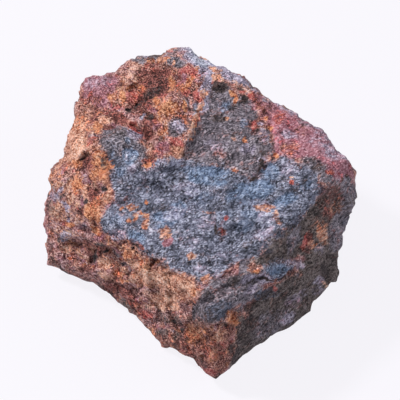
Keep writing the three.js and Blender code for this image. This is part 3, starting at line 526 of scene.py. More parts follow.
        (-48, -2, 1.6, 5, 0.55, -5), (-47.5, -16.5, 2, 2.6, 0.5), (-16.5, 23.5, 2, 1.8, 0.85, -40),
        (-32.5, 38.5, 1.4, 1, 0.4), (-37, 14, 1.8, 1.2, 0.4, 20), (-38.5, 12.5, 1, 1.4, 0.6),
        (-34, 8.5, 0.9, 1.4, 0.8), (-46.5, 0.5, 1.2, 2.4, 0.1), (-37, -20, 3, 1.2, 0.7, -15),
        (-47.5, -14.5, 2, 1, 0.7), (-28, -26.5, 2.4, 1, 0.8, -35), (-22, -29, 2.4, 0.8, 0.8, 35),
        (-9.5, -25.5, 2.4, 0.7, 0.5), (-9, 33.5, 3, 2, 0.4), (-30, 36, 2.4, 2, 0.5),
        (-14, -27.5, 4, 0.8, 0.6, -25), (-14, -18, 4, 0.8, 0.4, -35), (-19, -12, 2.4, 0.8, 0.7, -30),
        (33.5, -11, 2, 3.4, 0.7, -10), (-2.5, 37.5, 1.8, 1.4, 0.6), (18.5, 32.5, 3, 2, 0.6, -40),
        (6.5, -8.5, 2, 2.4, 0.5), (14.5, -34, 0.9, 2.4, 0.6), (-11, -41.5, 3, 3, 0.5),
    ],
    Mineral.CRIMSON: [
        (-21.5, 34.5, 2.2, 2.2, 0.7, -20), (-20, 24, 2.4, 0.6, 0.9, -35), (-11.5, 35, 1.2, 1.6, 0.8, -20),
        (-13.5, 26, 1.2, 1, 0.7), (-3, 42.5, 3, 1.8, 0.65, -20), (-7.5, 40.5, 2.4, 1.6, 0.5, -20),
        (-9.5, 33, 2.4, 1.6, 0.4), (-4.5, 36, 2.4, 1.8, 0.7, 20), (-7.5, 19.5, 2.6, 1, 0.9, -10),
        (-13, 17, 4, 2, 0.4, 15), (-0.5, 35, 2, 2.4, 0.7, 20), (-1, 26.5, 0.8, 2.6, 0.8, -15),
        (16.5, 34, 1.6, 1.4, 0.8, -30), (17, 25.5, 1.2, 2.4, 0.7, -10), (28, 17.5, 3.4, 2, 0.45, 10),
        (25.5, 28, 2.4, 2.4, 0.6, -30), (41, 10.5, 1.6, 1, 0.8), (6.5, -8, 0.7, 1.5, 0.6),
        (8.5, -4, 0.9, 0.8, 0.6), (28.5, 7, 0.9, 0.7, 0.6), (-21, -15.5, 3, 1.4, 0.5, -20),
        (-17.5, -34, 3.4, 1.4, 0.7, -15), (-43, -5.5, 2.2, 1.3, 0.8), (-39.5, 4, 1.4, 1.6, 0.7),
        (2.5, -51.5, 3, 1.8, 0.7, -20), (7, -42, 1, 1.6, 0.7), (2, -45, 2.4, 1, 0.4),
        (32.5, -11, 0.9, 1.6, 0.8), (23.5, -26, 0.9, 0.8, 0.8), (5, 39, 1.4, 0.7, 0.7, 30),
        (-6.5, -45, 1, 1, 0.5), (13.5, 36, 1.8, 0.5, 0.8),
    ],
    Mineral.OCHRE: [
        (-38.5, 13, 2, 2.2, 0.8, 20), (-21, 0, 2.2, 1.6, 0.45), (-3, -36, 2, 1.4, 0.2),
        (-12, -22.5, 3, 1.8, 0.55, -15), (-16.5, -18, 2.4, 1.8, 0.55, -20),
        (-32.5, 24.5, 1.8, 2.6, 0.8, 15), (-31.5, 9.5, 2.8, 2.8, 0.75), (-30.5, 13.5, 3.4, 1.6, 0.9, -5),
        (-32, 16.5, 2.6, 1.4, 0.65, 10), (-24.5, 34, 1, 2.4, 0.9, 10), (-28, 34, 1.6, 1.4, 0.5),
        (-9, 38.5, 1, 2.2, 0.7, 15), (-3, 39.5, 1, 1.6, 0.8), (-6, 37.5, 2.6, 1.6, 0.5),
        (-10, 30, 4, 2.4, 0.75, -5), (-14, 33, 1.2, 2.4, 0.8, 10), (-9.5, 32.5, 3, 2, 0.25),
        (-18, 37, 1.6, 0.9, 0.6), (-16.5, 13, 1.4, 0.8, 0.9, 25), (-12, 27, 2.4, 2, 0.3),
        (-30, 13, 1.6, 2.4, 0.9), (-38.5, 27, 2.4, 3, 0.5), (-38.5, 18, 2, 3, 0.35, -15),
        (-21, -4.5, 2.2, 1.4, 0.3), (-46, 9.5, 2.4, 2.2, 0.45), (-13, -17.5, 1, 0.5, 0.8, -20),
        (-48.5, 10, 1, 2, 0.8), (-39, 6.5, 2, 3, 0.75), (-34, -1, 2.8, 3.6, 0.95, -20),
        (-31.5, -3.5, 1.2, 1.8, 0.7), (-32.5, -7.5, 2.2, 1.2, 0.95, -40), (-41.5, -5.5, 2.4, 1.2, 0.9, -10),
        (-16.5, 1, 0.6, 0.6, 0.9), (-21, -1, 2, 0.8, 0.3, -10), (-16.5, -3, 1, 2, 0.4, -8),
        (-18.5, -2, 1.4, 0.6, 0.4, -20), (-23.5, -0.5, 1.6, 0.6, 0.5, 10), (-42, -16.5, 0.8, 0.7, 0.9),
        (-26, -21, 2, 1, 0.8, -10), (-22.5, -15, 2.4, 2.4, 0.7, -20), (-16, -21.5, 4.6, 1.4, 0.6, -25),
        (-9, -28.5, 3.6, 1.4, 0.6), (-2, -26.5, 1, 2, 0.5, 10), (-11, -31, 3, 1, 0.6, -15),
        (-2, -39.5, 3.2, 3.8, 0.7), (10, -34.5, 2, 3.4, 0.65, 15), (4, -46.5, 2, 2, 0.4),
        (1.5, -40, 5, 5, 0.35), (38, -7.5, 1, 1.6, 0.35), (36, -12, 1, 0.6, 0.5),
        (17.5, -20.5, 1.2, 0.8, 0.95), (10, 35.5, 1.4, 0.9, 1, -30), (11, 33.5, 0.8, 1.2, 0.9),
        (13.5, 20, 0.9, 0.8, 0.9), (21, 28, 1, 0.9, 1, -30), (22.5, 24.5, 0.9, 0.8, 0.9),
        (24, 15.5, 1, 1, 1), (8.5, 27, 1, 0.9, 0.8), (3, -2, 1.6, 0.7, 0.55, -15),
        (10.5, 10.5, 1, 0.8, 0.5), (-5, 31, 0.8, 2, 0.8, 10), (-1.5, 24, 1, 0.8, 0.7),
        (-12, 47, 2, 0.7, 0.7, 15),
    ],
    # pale salmon; the tiny strong dots are painted glints, and the patches on the bevel below the dish and on
    # the ridge's slope partly painted light
    Mineral.PALE_AND_HIGHLIGHT: [
        (6, 40.5, 2.8, 1.4, 0.7, -30), (14.5, 37, 3, 1, 0.5, -35), (-1.5, 26, 1, 3, 0.5, -20),
        (5, 43, 3, 1.2, 0.7, -30), (1.5, 46.5, 2, 0.8, 0.5, -30), (12, 38.5, 2.6, 0.8, 0.6, -30),
        (-38.5, 20, 1.8, 5, 0.4, -15), (-23, 42.5, 1, 1.4, 0.5), (-13, 47, 1.6, 0.6, 0.5, 10),
        (-9, 46, 0.5, 0.8, 1, 10), (29, 8.5, 0.6, 0.5, 0.9), (-29.5, 5, 0.7, 1, 0.9),
        (-10, -21.5, 3, 1, 0.4, -15), (-11, -8.5, 2, 2, 0.5), (6, -40.5, 2.4, 2, 0.6),
        (-38.5, -4.5, 2, 1.6, 0.6), (-30, 27, 2.4, 2, 0.7), (-44, -3.5, 2, 1.4, 0.4),
        (-38.5, -9, 2.4, 2, 0.3), (-43, -13.5, 2.4, 1.6, 0.6), (1.5, 36, 1.4, 2.4, 0.5, -20),
        (-16.5, -27, 3, 1.6, 0.45, -20), (-7.5, 18, 2, 2, 0.35), (-16, -22, 3, 1.8, 0.8, -25),
        (-12, -31.5, 2.4, 1.4, 0.8, -20), (-40.5, -12, 2.4, 1.6, 0.35), (-41, -2.5, 2, 2, 0.35),
        (-30, -22.5, 2.6, 1.4, 0.8, -25), (-7.5, -31.5, 2, 1.6, 0.7), (-34, 1.5, 2, 1.4, 0.4),
        (-40.5, 2.5, 1.8, 2, 0.7, -20), (-45, -2.5, 1.6, 2, 0.5), (-9, -28.5, 3.6, 2, 0.7),
        (-38.5, 18, 2.4, 3.4, 1, -15), (-30, -18, 2.4, 1.6, 0.8), (-21, -18, 2.4, 1.6, 0.8, -20),
        (-12, -22.5, 3.6, 2.2, 1, -15), (-3, -22.5, 2, 1.6, 0.5), (-21, 40.5, 2, 2, 0.5),
        (-38.5, -9, 2, 1.6, 0.4), (20, -0.5, 3, 1.4, 0.4, 5), (-45, -5, 2, 2, 0.35),
        (-41.5, -9, 3, 1.6, 0.4), (-12, -25.5, 2, 2, 0.4), (-3, -25.5, 1.6, 2.4, 0.2, 10),
        (40, -24.5, 1.2, 0.8, 0.5), (-43, -8.5, 0.7, 0.7, 0.8), (-26, 32.5, 1.4, 1, 0.4),
        (-32, -0.5, 1, 1, 0.4),
    ],
    # the thin strokes and small dots mostly lie in cracks and holes as painted shade; the broader patches are
    # dark rock
    Mineral.BLACK_AND_SHADE: [
        (-3, -36, 3, 1.8, 0.25, -20), (15.5, -23.5, 1.6, 0.35, 0.85, 50), (20, -22.5, 3, 0.32, 0.9, -12),
        (25.5, -22.5, 2.8, 0.32, 0.9, 8), (29, -21, 2, 0.32, 0.8, 30), (6.5, -7, 0.4, 0.5, 0.9),
        (-37, 14.5, 1.5, 0.45, 0.7, 38), (-31.5, 16.5, 1.4, 0.4, 0.6, 65), (-36.5, 2, 0.9, 0.5, 0.9, 35),
        (-44, 3, 2.6, 0.45, 0.6, 40), (-18, -14.5, 2.6, 0.4, 0.45, -55), (-14.5, -19, 2.4, 0.35, 0.5, -30),
        (-40.5, -11.5, 2.8, 0.4, 0.25, -5), (-30, -14.5, 1.6, 0.5, 0.8, 30),
        (-45.5, -20, 2.4, 0.5, 0.5, -28), (-41, -22, 2.4, 0.5, 0.5, -28), (-36, -24, 2.4, 0.5, 0.5, -15),
        (-31.5, -25.5, 2, 0.7, 0.6, -35), (-28, -29, 2, 0.7, 0.6, -45), (-19, -37.5, 2, 0.6, 0.6, -45),
        (6.5, 37.5, 2.6, 2, 0.85, 20), (14, 33.5, 2, 1.6, 0.7, -20), (6, 27, 3, 2, 0.6),
        (35, 14.5, 1.6, 1.2, 0.6, 20), (37, 12, 3, 2, 0.5), (-19.5, 32, 3.6, 0.8, 0.75, 42),
        (-22.5, 30, 1, 0.8, 0.7), (-15.5, 27.5, 1.2, 0.8, 0.95, -20), (-37, 15.5, 1.2, 1.2, 0.2, 40),
        (5, -45, 3, 4, 0.3), (-33.5, -16.5, 0.8, 2.4, 0.85, -15), (-31, -12, 2, 0.8, 0.8, -20),
        (-13, 38.5, 3, 3, 0.4, -30), (-20, 42.5, 1.6, 2.4, 0.35), (32, 6, 3.4, 1.6, 0.5, 35),
        (1.5, -33.5, 5, 4, 0.5, 20), (-30, 13.5, 1.6, 3, 0.5), (10.5, -22.5, 3, 1.6, 0.6, 20),
        (-47.5, -13.5, 1.4, 3, 0.4), (15.5, -36, 2, 3, 0.8), (33, 27, 3, 2, 0.35, -30),
        (10.5, 31.5, 2.4, 1.6, 0.6), (19.5, 17.5, 1.6, 2.4, 0.55), (1.5, -27, 2.6, 1.6, 0.5, 30),
        (20, -27, 3, 1.6, 0.6, 20), (10.5, 22.5, 2, 1.4, 0.4), (-16, 35.5, 3, 1.8, 0.62, 20),
        (0, -49, 4, 2.6, 0.4, -30), (-15.5, 40, 1.6, 3, 0.4), (-30.5, 5, 1.2, 0.7, 0.8),
        (-7.5, 22.5, 2, 1.6, 0.5), (-21, 0, 2.4, 1.6, 0.3), (6, -54, 3, 3, 0.6), (-47.5, -18, 2, 1.6, 0.55),
        (-47.5, 0, 1.6, 2.4, 0.45), (-12, -36, 3, 1.6, 0.45, -20), (-16, -32.5, 3, 1.6, 0.4, -30),
        (9.5, -37.5, 1.6, 2, 0.45), (46.5, 13.5, 1.6, 3, 0.4), (-12, 36, 2.4, 1.6, 0.5),
        (-7.5, 40.5, 2.4, 1.6, 0.45), (15, -31.5, 2, 2, 0.6), (-12, -18, 2, 1.4, 0.3),
        (-7.5, -36, 2.4, 1.6, 0.55, -20), (-25.5, 22.5, 3, 2, 0.5), (-5, -38, 4, 2, 0.3, -20),
        (-7.5, -40.5, 2.4, 1.6, 0.5, -20), (9.5, -7, 0.8, 0.6, 0.3), (5, -7.5, 0.7, 2.2, 0.7),
        (19, 12, 0.7, 2.4, 0.9, -15), (16.5, 8, 1.6, 0.6, 0.9, 15), (16.5, -37, 2, 5, 0.5, 5),
        (20, -14, 3, 2.2, 0.45, 30), (27.5, -5.5, 2, 1.2, 0.6, 40), (40.5, -21, 2.2, 2.4, 0.7, 20),
        (46.5, 0, 2, 5, 0.45, -10), (22.5, -27, 6, 1, 0.4, 25), (2.5, -37, 4.6, 0.7, 0.3, 15),
        (14, -21, 0.6, 1.4, 0.5, -40), (17.5, -21.5, 3, 0.5, 0.4, -15), (-5.5, -39, 1, 0.6, 0.8),
        (11, -46, 2, 4, 0.6, 25), (14, -41.5, 3, 3, 0.5), (-20, -12, 1.6, 0.7, 0.6, -25),
    ],
}
# minerals on the sides that the display side doesn't show: size of their patches, seed, share covered
HIDDEN_MINERALS = {
    Mineral.UMBER: (24.0, 201, 0.5),
    Mineral.GRAPHITE: (18.0, 205, 0.4),
    Mineral.ROSE: (14.0, 245, 0.42),
    Mineral.TAN: (12.0, 249, 0.35),
    Mineral.TARNISH: (26.0, 209, 0.46),
    Mineral.BLUE: (12.0, 213, 0.3),
    Mineral.PALE_BLUE_AND_HIGHLIGHT: (9.0, 215, 0.2),
    Mineral.INK_AND_SHADE: (11.0, 219, 0.26),
    Mineral.LILAC: (14.0, 217, 0.3),
    Mineral.RASPBERRY: (16.0, 221, 0.34),
    Mineral.MAROON: (14.0, 225, 0.34),
    Mineral.CRIMSON: (8.0, 229, 0.22),
    Mineral.OCHRE: (7.0, 233, 0.22),
    Mineral.PALE_AND_HIGHLIGHT: (6.0, 237, 0.16),
    Mineral.BLACK_AND_SHADE: (9.0, 241, 0.2),
}
# crumbs of other minerals: their size, seed, and strengths in the rusted ground and in the tarnish
CRUMBS = {
    Mineral.GRAPHITE: (4.6, 301, 0.8, 1.4),
    Mineral.ROSE: (5.0, 305, 1.0, 0.8),
    Mineral.LILAC: (3.6, 313, 0.5, 0.5),
    Mineral.RASPBERRY: (4.6, 317, 1.0, 0.6),
    Mineral.MAROON: (3.2, 321, 1.0, 0.8),
    Mineral.TAN: (4.0, 325, 0.8, 0.5),
    Mineral.CRIMSON: (3.0, 329, 0.7, 0.0),
    Mineral.OCHRE: (4.0, 333, 0.7, 0.0),
    Mineral.PALE_AND_HIGHLIGHT: (2.4, 337, 0.5, 0.0),
    Mineral.BLACK_AND_SHADE: (2.6, 341, 0.5, 0.8),
}


# ---- small mathematics on whole arrays
def smooth_step(x: Array, low: float, high: float) -> Array:
    """Give 0 below low and 1 above high, with an S-shaped cubic between them.

    Args:
        x: Any array of values.
        low: Where the rise starts.
        high: Where it ends.

    Returns:
        An array like x, from 0 to 1.
    """
    t = np.clip((x - low) / (high - low), 0.0, 1.0)
    return t * t * (3.0 - 2.0 * t)


def direction(azimuth: Array, pitch: Array) -> Array:
    """Turn azimuths from +Y towards +X, and pitches, in degrees, into unit vectors.

    Args:
        azimuth: Azimuths in degrees.
        pitch: Pitches in degrees.

    Returns:
        Unit vectors, in an array with one more axis than the arguments.
    """
    a, p = np.radians(azimuth), np.radians(pitch)
    return np.stack([np.cos(p) * np.sin(a), np.cos(p) * np.cos(a), np.sin(p)], -1)


def line_distance(x: Array, y: Array, points: list[Point], closed: bool) -> Array:
    """Measure how far points lie from a line of straight pieces: the least distance over the pieces.

    Args:
        x: Across, mm.
        y: Up, mm.
        points: The line's corners.
        closed: Whether the last corner joins the first.

    Returns:
        Distances in mm.
    """
    ends = points[1:] + points[:1] if closed else points[1:]
    near = np.full(x.shape, np.inf)
    for (x0, y0), (x1, y1) in zip(points, ends):
        ex, ey = x1 - x0, y1 - y0
        t = np.clip(((x - x0) * ex + (y - y0) * ey) / (ex * ex + ey * ey), 0.0, 1.0)
        near = np.minimum(near, np.hypot(x - x0 - t * ex, y - y0 - t * ey))
    return near


def depth_inside(x: Array, y: Array, outline: list[Point]) -> Array:
    """Measure the distance inside a closed outline, less than zero outside it.

    A point is inside if a ray from it to the right crosses the outline an odd number of times.

    Args:
        x: Across, mm.
        y: Up, mm.
        outline: The outline's corners.

    Returns:
        Signed distances in mm.
    """
    inside = np.zeros(x.shape, bool)
    for (x0, y0), (x1, y1) in zip(outline, outline[1:] + outline[:1]):
        if y0 != y1:
            crossing = (x1 - x0) * (y - y0) / (y1 - y0) + x0
            inside ^= ((y > y0) != (y > y1)) & (x < crossing)
    return np.where(inside, 1.0, -1.0) * line_distance(x, y, outline, True)


def oval_reach(x: Array, y: Array, centre: Point, half_sizes: Point, turn: float) -> Array:
    """Give the distance from an oval's centre as a share of its half size in that direction.

    Args:
        x: Across, mm.
        y: Up, mm.
        centre: The oval's centre.
        half_sizes: Its half length and half width.
        turn: Degrees anticlockwise that its length is turned.

    Returns:
        0 at the centre, 1 on the oval and more outside it.
    """
    c, s = np.cos(np.radians(turn)), np.sin(np.radians(turn))
    dx, dy = x - centre[0], y - centre[1]
    return np.hypot((dx * c + dy * s) / half_sizes[0], (dy * c - dx * s) / half_sizes[1])


# ---- noise
def corner_value(cell: Array, seed: int) -> Array:
    """Give each lattice corner its own fixed number, by multiplying and folding whole numbers.

    Args:
        cell: Whole corner numbers, in an array whose last axis holds x, y and z.
        seed: Picks one of many patterns.

    Returns:
        Numbers from 0 to 1.
    """
    mask = np.uint64(0xFFFFFFFF)
    x, y, z = (cell[..., k].astype(np.int64) for k in range(3))
    h = ((x * 374761393 + y * 668265263 + z * 1440662683 + seed * 362437) & 0xFFFFFFFF).astype(np.uint64)
    h = ((h ^ (h >> np.uint64(13))) * np.uint64(1274126177)) & mask
    h = ((h ^ (h >> np.uint64(16))) * np.uint64(2246822519)) & mask
    return ((h ^ (h >> np.uint64(15))) & np.uint64(0xFFFFFF)).astype(float) / 0xFFFFFF


def lattice_noise(points: Array, seed: int) -> Array:
    """Mix the eight corner numbers around each point with the weight 6t^5 - 15t^4 + 10t^3.

    Args:
        points: Positions in lattice cells.
        seed: The pattern.

    Returns:
        Smooth noise from -1 to 1.
    """
    cell = np.floor(points).astype(np.int64)
    t = points - cell
    t = t * t * t * (t * (t * 6.0 - 15.0) + 10.0)
    total = np.zeros(points.shape[:-1])
    for step in np.ndindex(2, 2, 2):
        weight = np.prod(np.where(step, t, 1.0 - t), -1)
        total += weight * corner_value(cell + np.array(step), seed)
    return total * 2.0 - 1.0


@dataclass(frozen=True)
class Swell:
    """Octaves of noise, each weaker by gain and about half as large as the one before."""

    size: float
    seed: int
    octaves: int = 1
    gain: float = 0.5
    ratio: float = 2.03  # not quite 2, so that the octaves' lattices don't line up
    shift: float = 17.3  # and each is moved by this many cells

    def at(self, points: Array) -> Array:
        """Sum the octaves at the given points, in mm."""
        total = np.zeros(points.shape[:-1])
        for k in range(self.octaves):
            places = points / (self.size / self.ratio**k) + self.shift * k
            total += self.gain**k * lattice_noise(places, self.seed + k)
        return total


@dataclass(frozen=True)
class Chips:
    """Broken facets: one tilted plane per cell, with neighbours mixed over a short slope."""

    size: float
    seed: int
    sharpness: float
    wander_size: float
    wander: float
    wander_seed: int
    margin: float = 0.1  # a centre keeps this far from its cell's sides
    play: float = 0.8  # and is jittered over this much of it
    steepness: float = 0.9
    level_seed: int = 7  # added to the seed for the levels

    def at(self, points: Array) -> Array:
        """Give the facets' height, from about -0.5 to 0.5.

        Each of the 27 cells around a point holds one jittered centre, a level and a tilt. Their
        planes are averaged with the weight exp(-sharpness * distance from the centre).

        Args:
            points: Positions in mm.

        Returns:
            Heights.
        """
        drift = [lattice_noise(points / self.wander_size, self.wander_seed + k) for k in range(3)]
        q = (points + self.wander * np.stack(drift, -1)) / self.size
        cell = np.floor(q).astype(np.int64)
        top, bottom = np.zeros(q.shape[:-1]), np.zeros(q.shape[:-1])
        for step in np.ndindex(3, 3, 3):
            near = cell + np.array(step) - 1
            jitter = np.stack([corner_value(near, self.seed + k) for k in range(3)], -1)
            offset = q - (near + self.margin + self.play * jitter)
            tilt = (offset * (2.0 * jitter[..., [1, 2, 0]] - 1.0)).sum(-1)
            weight = np.exp(-self.sharpness * np.linalg.norm(offset, axis=-1))
            level = corner_value(near, self.seed + self.level_seed) - 0.5
            top += weight * (level + self.steepness * tilt)
            bottom += weight
        return top / bottom


class Wander:
    """Noise in two sizes, added to across and to up to make what is drawn with them ragged."""

    def __init__(self, points: Array, sizes: Point, seeds: tuple[int, int, int, int], octaves: int) -> None:
        """Work out the noise at the points: coarse and fine for across, then for up."""
        self.drift = [Swell(size, seed, octaves).at(points) for size, seed in zip(sizes * 2, seeds)]

    def move(self, across: Array, up: Array, coarse: float, fine: float) -> tuple[Array, Array]:
        """Give across and up, moved by the coarse and the fine noise times these heights, mm."""
        a, b, c, d = self.drift
        return across + coarse * a + fine * b, up + coarse * c + fine * d


@dataclass(frozen=True)
class Break:
    """One kind of roughness, with its height in mm: all over, and what the rust and the back add."""

    form: Swell | Chips
    height: float
    in_rust: float = 0.0
    at_back: float = 0.0

    def at(self, points: Array, rust: Array, back: Array) -> Array:
        """Give how high it stands at the points, mm."""
        return (self.height + self.in_rust * rust + self.at_back * back) * self.form.at(points)


# the breaks, from the broadest swell to the chunks
BREAKS = (
    Break(Swell(24.0, 31, 2), 1.1, at_back=1.3),
    Break(Swell(9.0, 41, 2), 0.8),
    Break(Chips(12.0, 61, 26.0, 6.0, 1.6, 51), 0.8, at_back=1.0),
    Break(Chips(5.2, 65, 30.0, 3.0, 0.8, 54), 0.55, in_rust=0.75, at_back=0.25),
)
GRIT = Break(Swell(4.2, 81, 4, 0.58), 0.22, in_rust=0.1)
# how hollows are found: rounds of averaging, and the depth below the averaged surface that counts as 1
HOLLOW_SCALES = {"crevice": (4, 0.16), "hollow": (40, 0.8)}


# ---- the lump's form
@dataclass
class DisplayFrame:
    """The frame of the side that the lump shows best: across, up, and out of it."""

    heart_height: float = 28.0
    elevation: float = 50.0
    heart: Array = field(init=False)
    axes: Array = field(init=False)

    def __post_init__(self) -> None:
        """Work out the heart and the three axes."""
        out = direction(np.array(180.0), np.array(self.elevation))
        across = np.array([1.0, 0.0, 0.0])
        self.heart = np.array([0.0, 0.0, self.heart_height])
        self.axes = np.stack([across, np.cross(out, across), out])

    def read(self, points: Array) -> tuple[Array, Array, Array]:
        """Give points as across, up and out."""
        local = (points - self.heart) @ self.axes.T
        return local[..., 0], local[..., 1], local[..., 2]

    def place(self, across: Array, up: Array, out: Array) -> Array:
        """Give across, up and out as points."""
        return self.heart + np.stack([across, up, out], -1) @ self.axes


@dataclass
class Blank:
    """The block that the fracture planes leave, in an upper and a lower part that meet in a step."""

    edge_sharpness: float = 40.0
    step_width: float = 2.0  # degrees of pitch over which one block gives way to the other
    step_wander: float = 3.5  # degrees by which the step strays from its line
    step_waves: float = 6.0  # how closely it does so
    step_seed: int = 5

    def reach(self, rays: Array, planes: list[tuple[float, float, float]]) -> Array:
        """Say how far out the planes stop each ray from the heart.

        The radius is (sum over planes of max(0, ray . normal / distance)^p)^(-1/p), whose power p
        wears the edges between the planes.

        Args:
            rays: Unit vectors.
            planes: Azimuth, pitch and distance of each plane.

        Returns:
            Radii in mm.
        """
        rows = np.array(planes, float)
        normals = direction(rows[:, 0], rows[:, 1]) / rows[:, 2:]
        power = self.edge_sharpness
        return (np.clip(rays @ normals.T, 0.0, None) ** power).sum(-1) ** (-1.0 / power)

    def radius(self, rays: Array) -> Array:
        """Mix the two blocks' radii across the step line, which wanders by noise."""
        azimuth = np.degrees(np.arctan2(rays[..., 0], rays[..., 1])) % 360.0
        pitch = np.degrees(np.arcsin(np.clip(rays[..., 2], -1.0, 1.0)))
        line = np.array(STEP_LINE, float)
        wander = self.step_wander * lattice_noise(rays * self.step_waves, self.step_seed)
        step = np.interp(azimuth, line[:, 0], line[:, 1]) + wander
        lower, upper = self.reach(rays, LOWER_PLANES), self.reach(rays, UPPER_PLANES)
        return lower + (upper - lower) * smooth_step(pitch - step, -self.step_width, self.step_width)


@dataclass
class Outline:
    """Pushes the blank in and out until its edge on the display side follows the outline."""

    view: DisplayFrame
    blank: Blank
    steps: int = 720  # angles at which the outline is measured
    spread: float = 12.0  # degrees over which the smooth share is averaged
    smooth_power: int = 3
    detail_power: int = 12
    steepest: float = 74.0  # degrees of pitch, up and down, between which the blank's edge is sought
    pitch_step: float = 2.0

    def target(self, angle: Array) -> Array:
        """Give the outline's radius along each angle: the furthest crossing of the ray and a side."""
        c, s = np.cos(angle), np.sin(angle)
        far = np.zeros_like(angle)
        for (x0, y0), (x1, y1) in zip(OUTLINE, OUTLINE[1:] + OUTLINE[:1]):
            ex, ey = x1 - x0, y1 - y0
            slant = c * ey - s * ex
            slant = np.where(np.abs(slant) < 1e-9, 1e-9, slant)
            radius, share = (x0 * ey - y0 * ex) / slant, (x0 * s - y0 * c) / slant
            hit = (radius > far) & (share >= -1e-9) & (share <= 1.0 + 1e-9)
            far = np.where(hit, radius, far)
        return far

    def blank_edge(self, angle: Array) -> Array:
        """Give the blank's own outline: the furthest that it reaches at each angle, over all depths."""
        pitch = np.radians(np.arange(-self.steepest, self.steepest + 1.0, self.pitch_step))
        flat = np.cos(pitch)
        local = np.stack(np.broadcast_arrays(
            flat * np.cos(angle)[:, None], flat * np.sin(angle)[:, None], np.sin(pitch)), -1)
        return (self.blank.radius(local @ self.view.axes) * flat).max(1)

    def push(self, points: Array) -> Array:
        """Scale each point away from the display axis by the outline's ratio at its angle.

        The ratio has a smooth share, averaged with a bell curve, and a detail share. Each grows with
        a power of the way out, the detail later than the smooth share.

        Args:
            points: The blank's points, mm.

        Returns:
            The points, moved.
        """
        angles = np.linspace(-np.pi, np.pi, self.steps, endpoint=False)
        blank = self.blank_edge(angles)
        ratio = self.target(angles) / blank
        spread = int(self.steps * self.spread / 360.0)
        bell = np.exp(-0.5 * (np.arange(-3 * spread, 3 * spread + 1) / spread) ** 2)
        padded = np.concatenate([ratio[-3 * spread:], ratio, ratio[: 3 * spread]])
        smooth = np.convolve(padded, bell / bell.sum(), "valid")
        across, up, out = self.view.read(points)
        at = np.arctan2(up, across)
        edge, wide, fine = (
            np.interp(at, angles, values, period=2.0 * np.pi) for values in (blank, smooth, ratio / smooth))
        share = np.hypot(across, up) / edge
        scale = 1.0 + (wide - 1.0) * share**self.smooth_power
        scale *= 1.0 + (fine - 1.0) * share**self.detail_power
        return self.view.place(across * scale, up * scale, out)


@dataclass
class Relief:
    """Plates, hollows and ridges of the display side, as one height over across and up."""

    plates: list[Plate]
    hollows: list[Hollow]
    ridges: list[Ridge]
    rim: float = 1.35  # a hollow fades out a little past its half sizes

    def height(self, x: Array, y: Array) -> Array:
        """Add up the rows: smooth steps for plates, (1 - q^2)^2 bowls, and bell curves for ridges.

        Args:
            x: Across, mm.
            y: Up, mm.

        Returns:
            Heights in mm along the display axis.
        """
        total = np.zeros(x.shape)
        for plate in self.plates:
            depth = depth_inside(x, y, plate.outline)
            total += plate.height * smooth_step(depth, -plate.edge, plate.edge)
        for hollow in self.hollows:
            q = oval_reach(x, y, hollow.centre, hollow.half_sizes, hollow.turn) / self.rim
            total -= hollow.depth * np.clip(1.0 - q * q, 0.0, 1.0) ** 2
        for ridge in self.ridges:
            away = line_distance(x, y, ridge.points, False) / ridge.half_width
            total += ridge.height * np.exp(-(away**2))
        return total


@dataclass
class CubeGrid:
    """Directions on a sphere, from square grids on the six faces of a cube, with shared seams."""

    cells: int
    charts_across: int = 3
    charts_up: int = 2
    margin: float = 0.01
    rays: Array = field(init=False)
    quads: Array = field(init=False)
    quad_uvs: Array = field(init=False)

    def __post_init__(self) -> None:
        """Number the faces' grid corners, once for each place on the cube, and make the rays.

        A corner is known by three whole numbers from 0 to cells. Each becomes tan(45 deg * t) with t
        from -1 to 1, and the three together, made a unit long, are the ray.
        """
        n = self.cells
        i, j = np.meshgrid(np.arange(n + 1), np.arange(n + 1), indexing="ij")
        steps, uvs = [], []
        for chart, (axis, side) in enumerate((axis, side) for axis in range(3) for side in (0, n)):
            place = np.empty((n + 1, n + 1, 3), np.int64)
            place[..., axis] = side
            place[..., (axis + 1) % 3] = i
            place[..., (axis + 2) % 3] = j
            steps.append(place)
            u = self.margin + (1.0 - 2.0 * self.margin) * (i if side else n - i) / n
            v = self.margin + (1.0 - 2.0 * self.margin) * j / n
            row, column = divmod(chart, self.charts_across)
            uvs.append(np.stack([(column + u) / self.charts_across, (row + v) / self.charts_up], -1))
        every = np.concatenate([place.reshape(-1, 3) for place in steps])
        keys = (every[:, 0] * (n + 1) + every[:, 1]) * (n + 1) + every[:, 2]
        _, first, number = np.unique(keys, return_index=True, return_inverse=True)
        turned = np.tan(np.pi / 4.0 * (2.0 * every[first] / n - 1.0))
        self.rays = turned / np.linalg.norm(turned, axis=-1, keepdims=True)
        number = number.reshape(6, n + 1, n + 1)
        quads, quad_uvs = [], []
        for chart in range(6):
            ring = [(slice(0, n), slice(0, n)), (slice(1, n + 1), slice(0, n)),
                    (slice(1, n + 1), slice(1, n + 1)), (slice(0, n), slice(1, n + 1))]
            if chart % 2 == 0:
                ring.reverse()
            quads.append(np.stack([number[chart][part] for part in ring], -1).reshape(-1, 4))
            quad_uvs.append(np.stack([uvs[chart][part] for part in ring], -2).reshape(-1, 4, 2))
        self.quads = np.concatenate(quads)
        self.quad_uvs = np.concatenate(quad_uvs)

    def triangles(self, points: Array) -> tuple[Array, Array]:
        """Cut each quad along its shorter diagonal.

        Args:
            points: One point for each ray.

        Returns:
            Corner numbers and UVs of the triangles.
        """
        a, b, c, d = (points[self.quads[:, k]] for k in range(4))
        straight = np.linalg.norm(a - c, axis=-1) <= np.linalg.norm(b - d, axis=-1)
        cut = np.where(straight[:, None], [0, 1, 2, 0, 2, 3], [0, 1, 3, 1, 2, 3])
        corners = np.take_along_axis(self.quads, cut, 1).reshape(-1, 3)
        uvs = np.take_along_axis(self.quad_uvs, cut[..., None], 1).reshape(-1, 3, 2)
        return corners, uvs


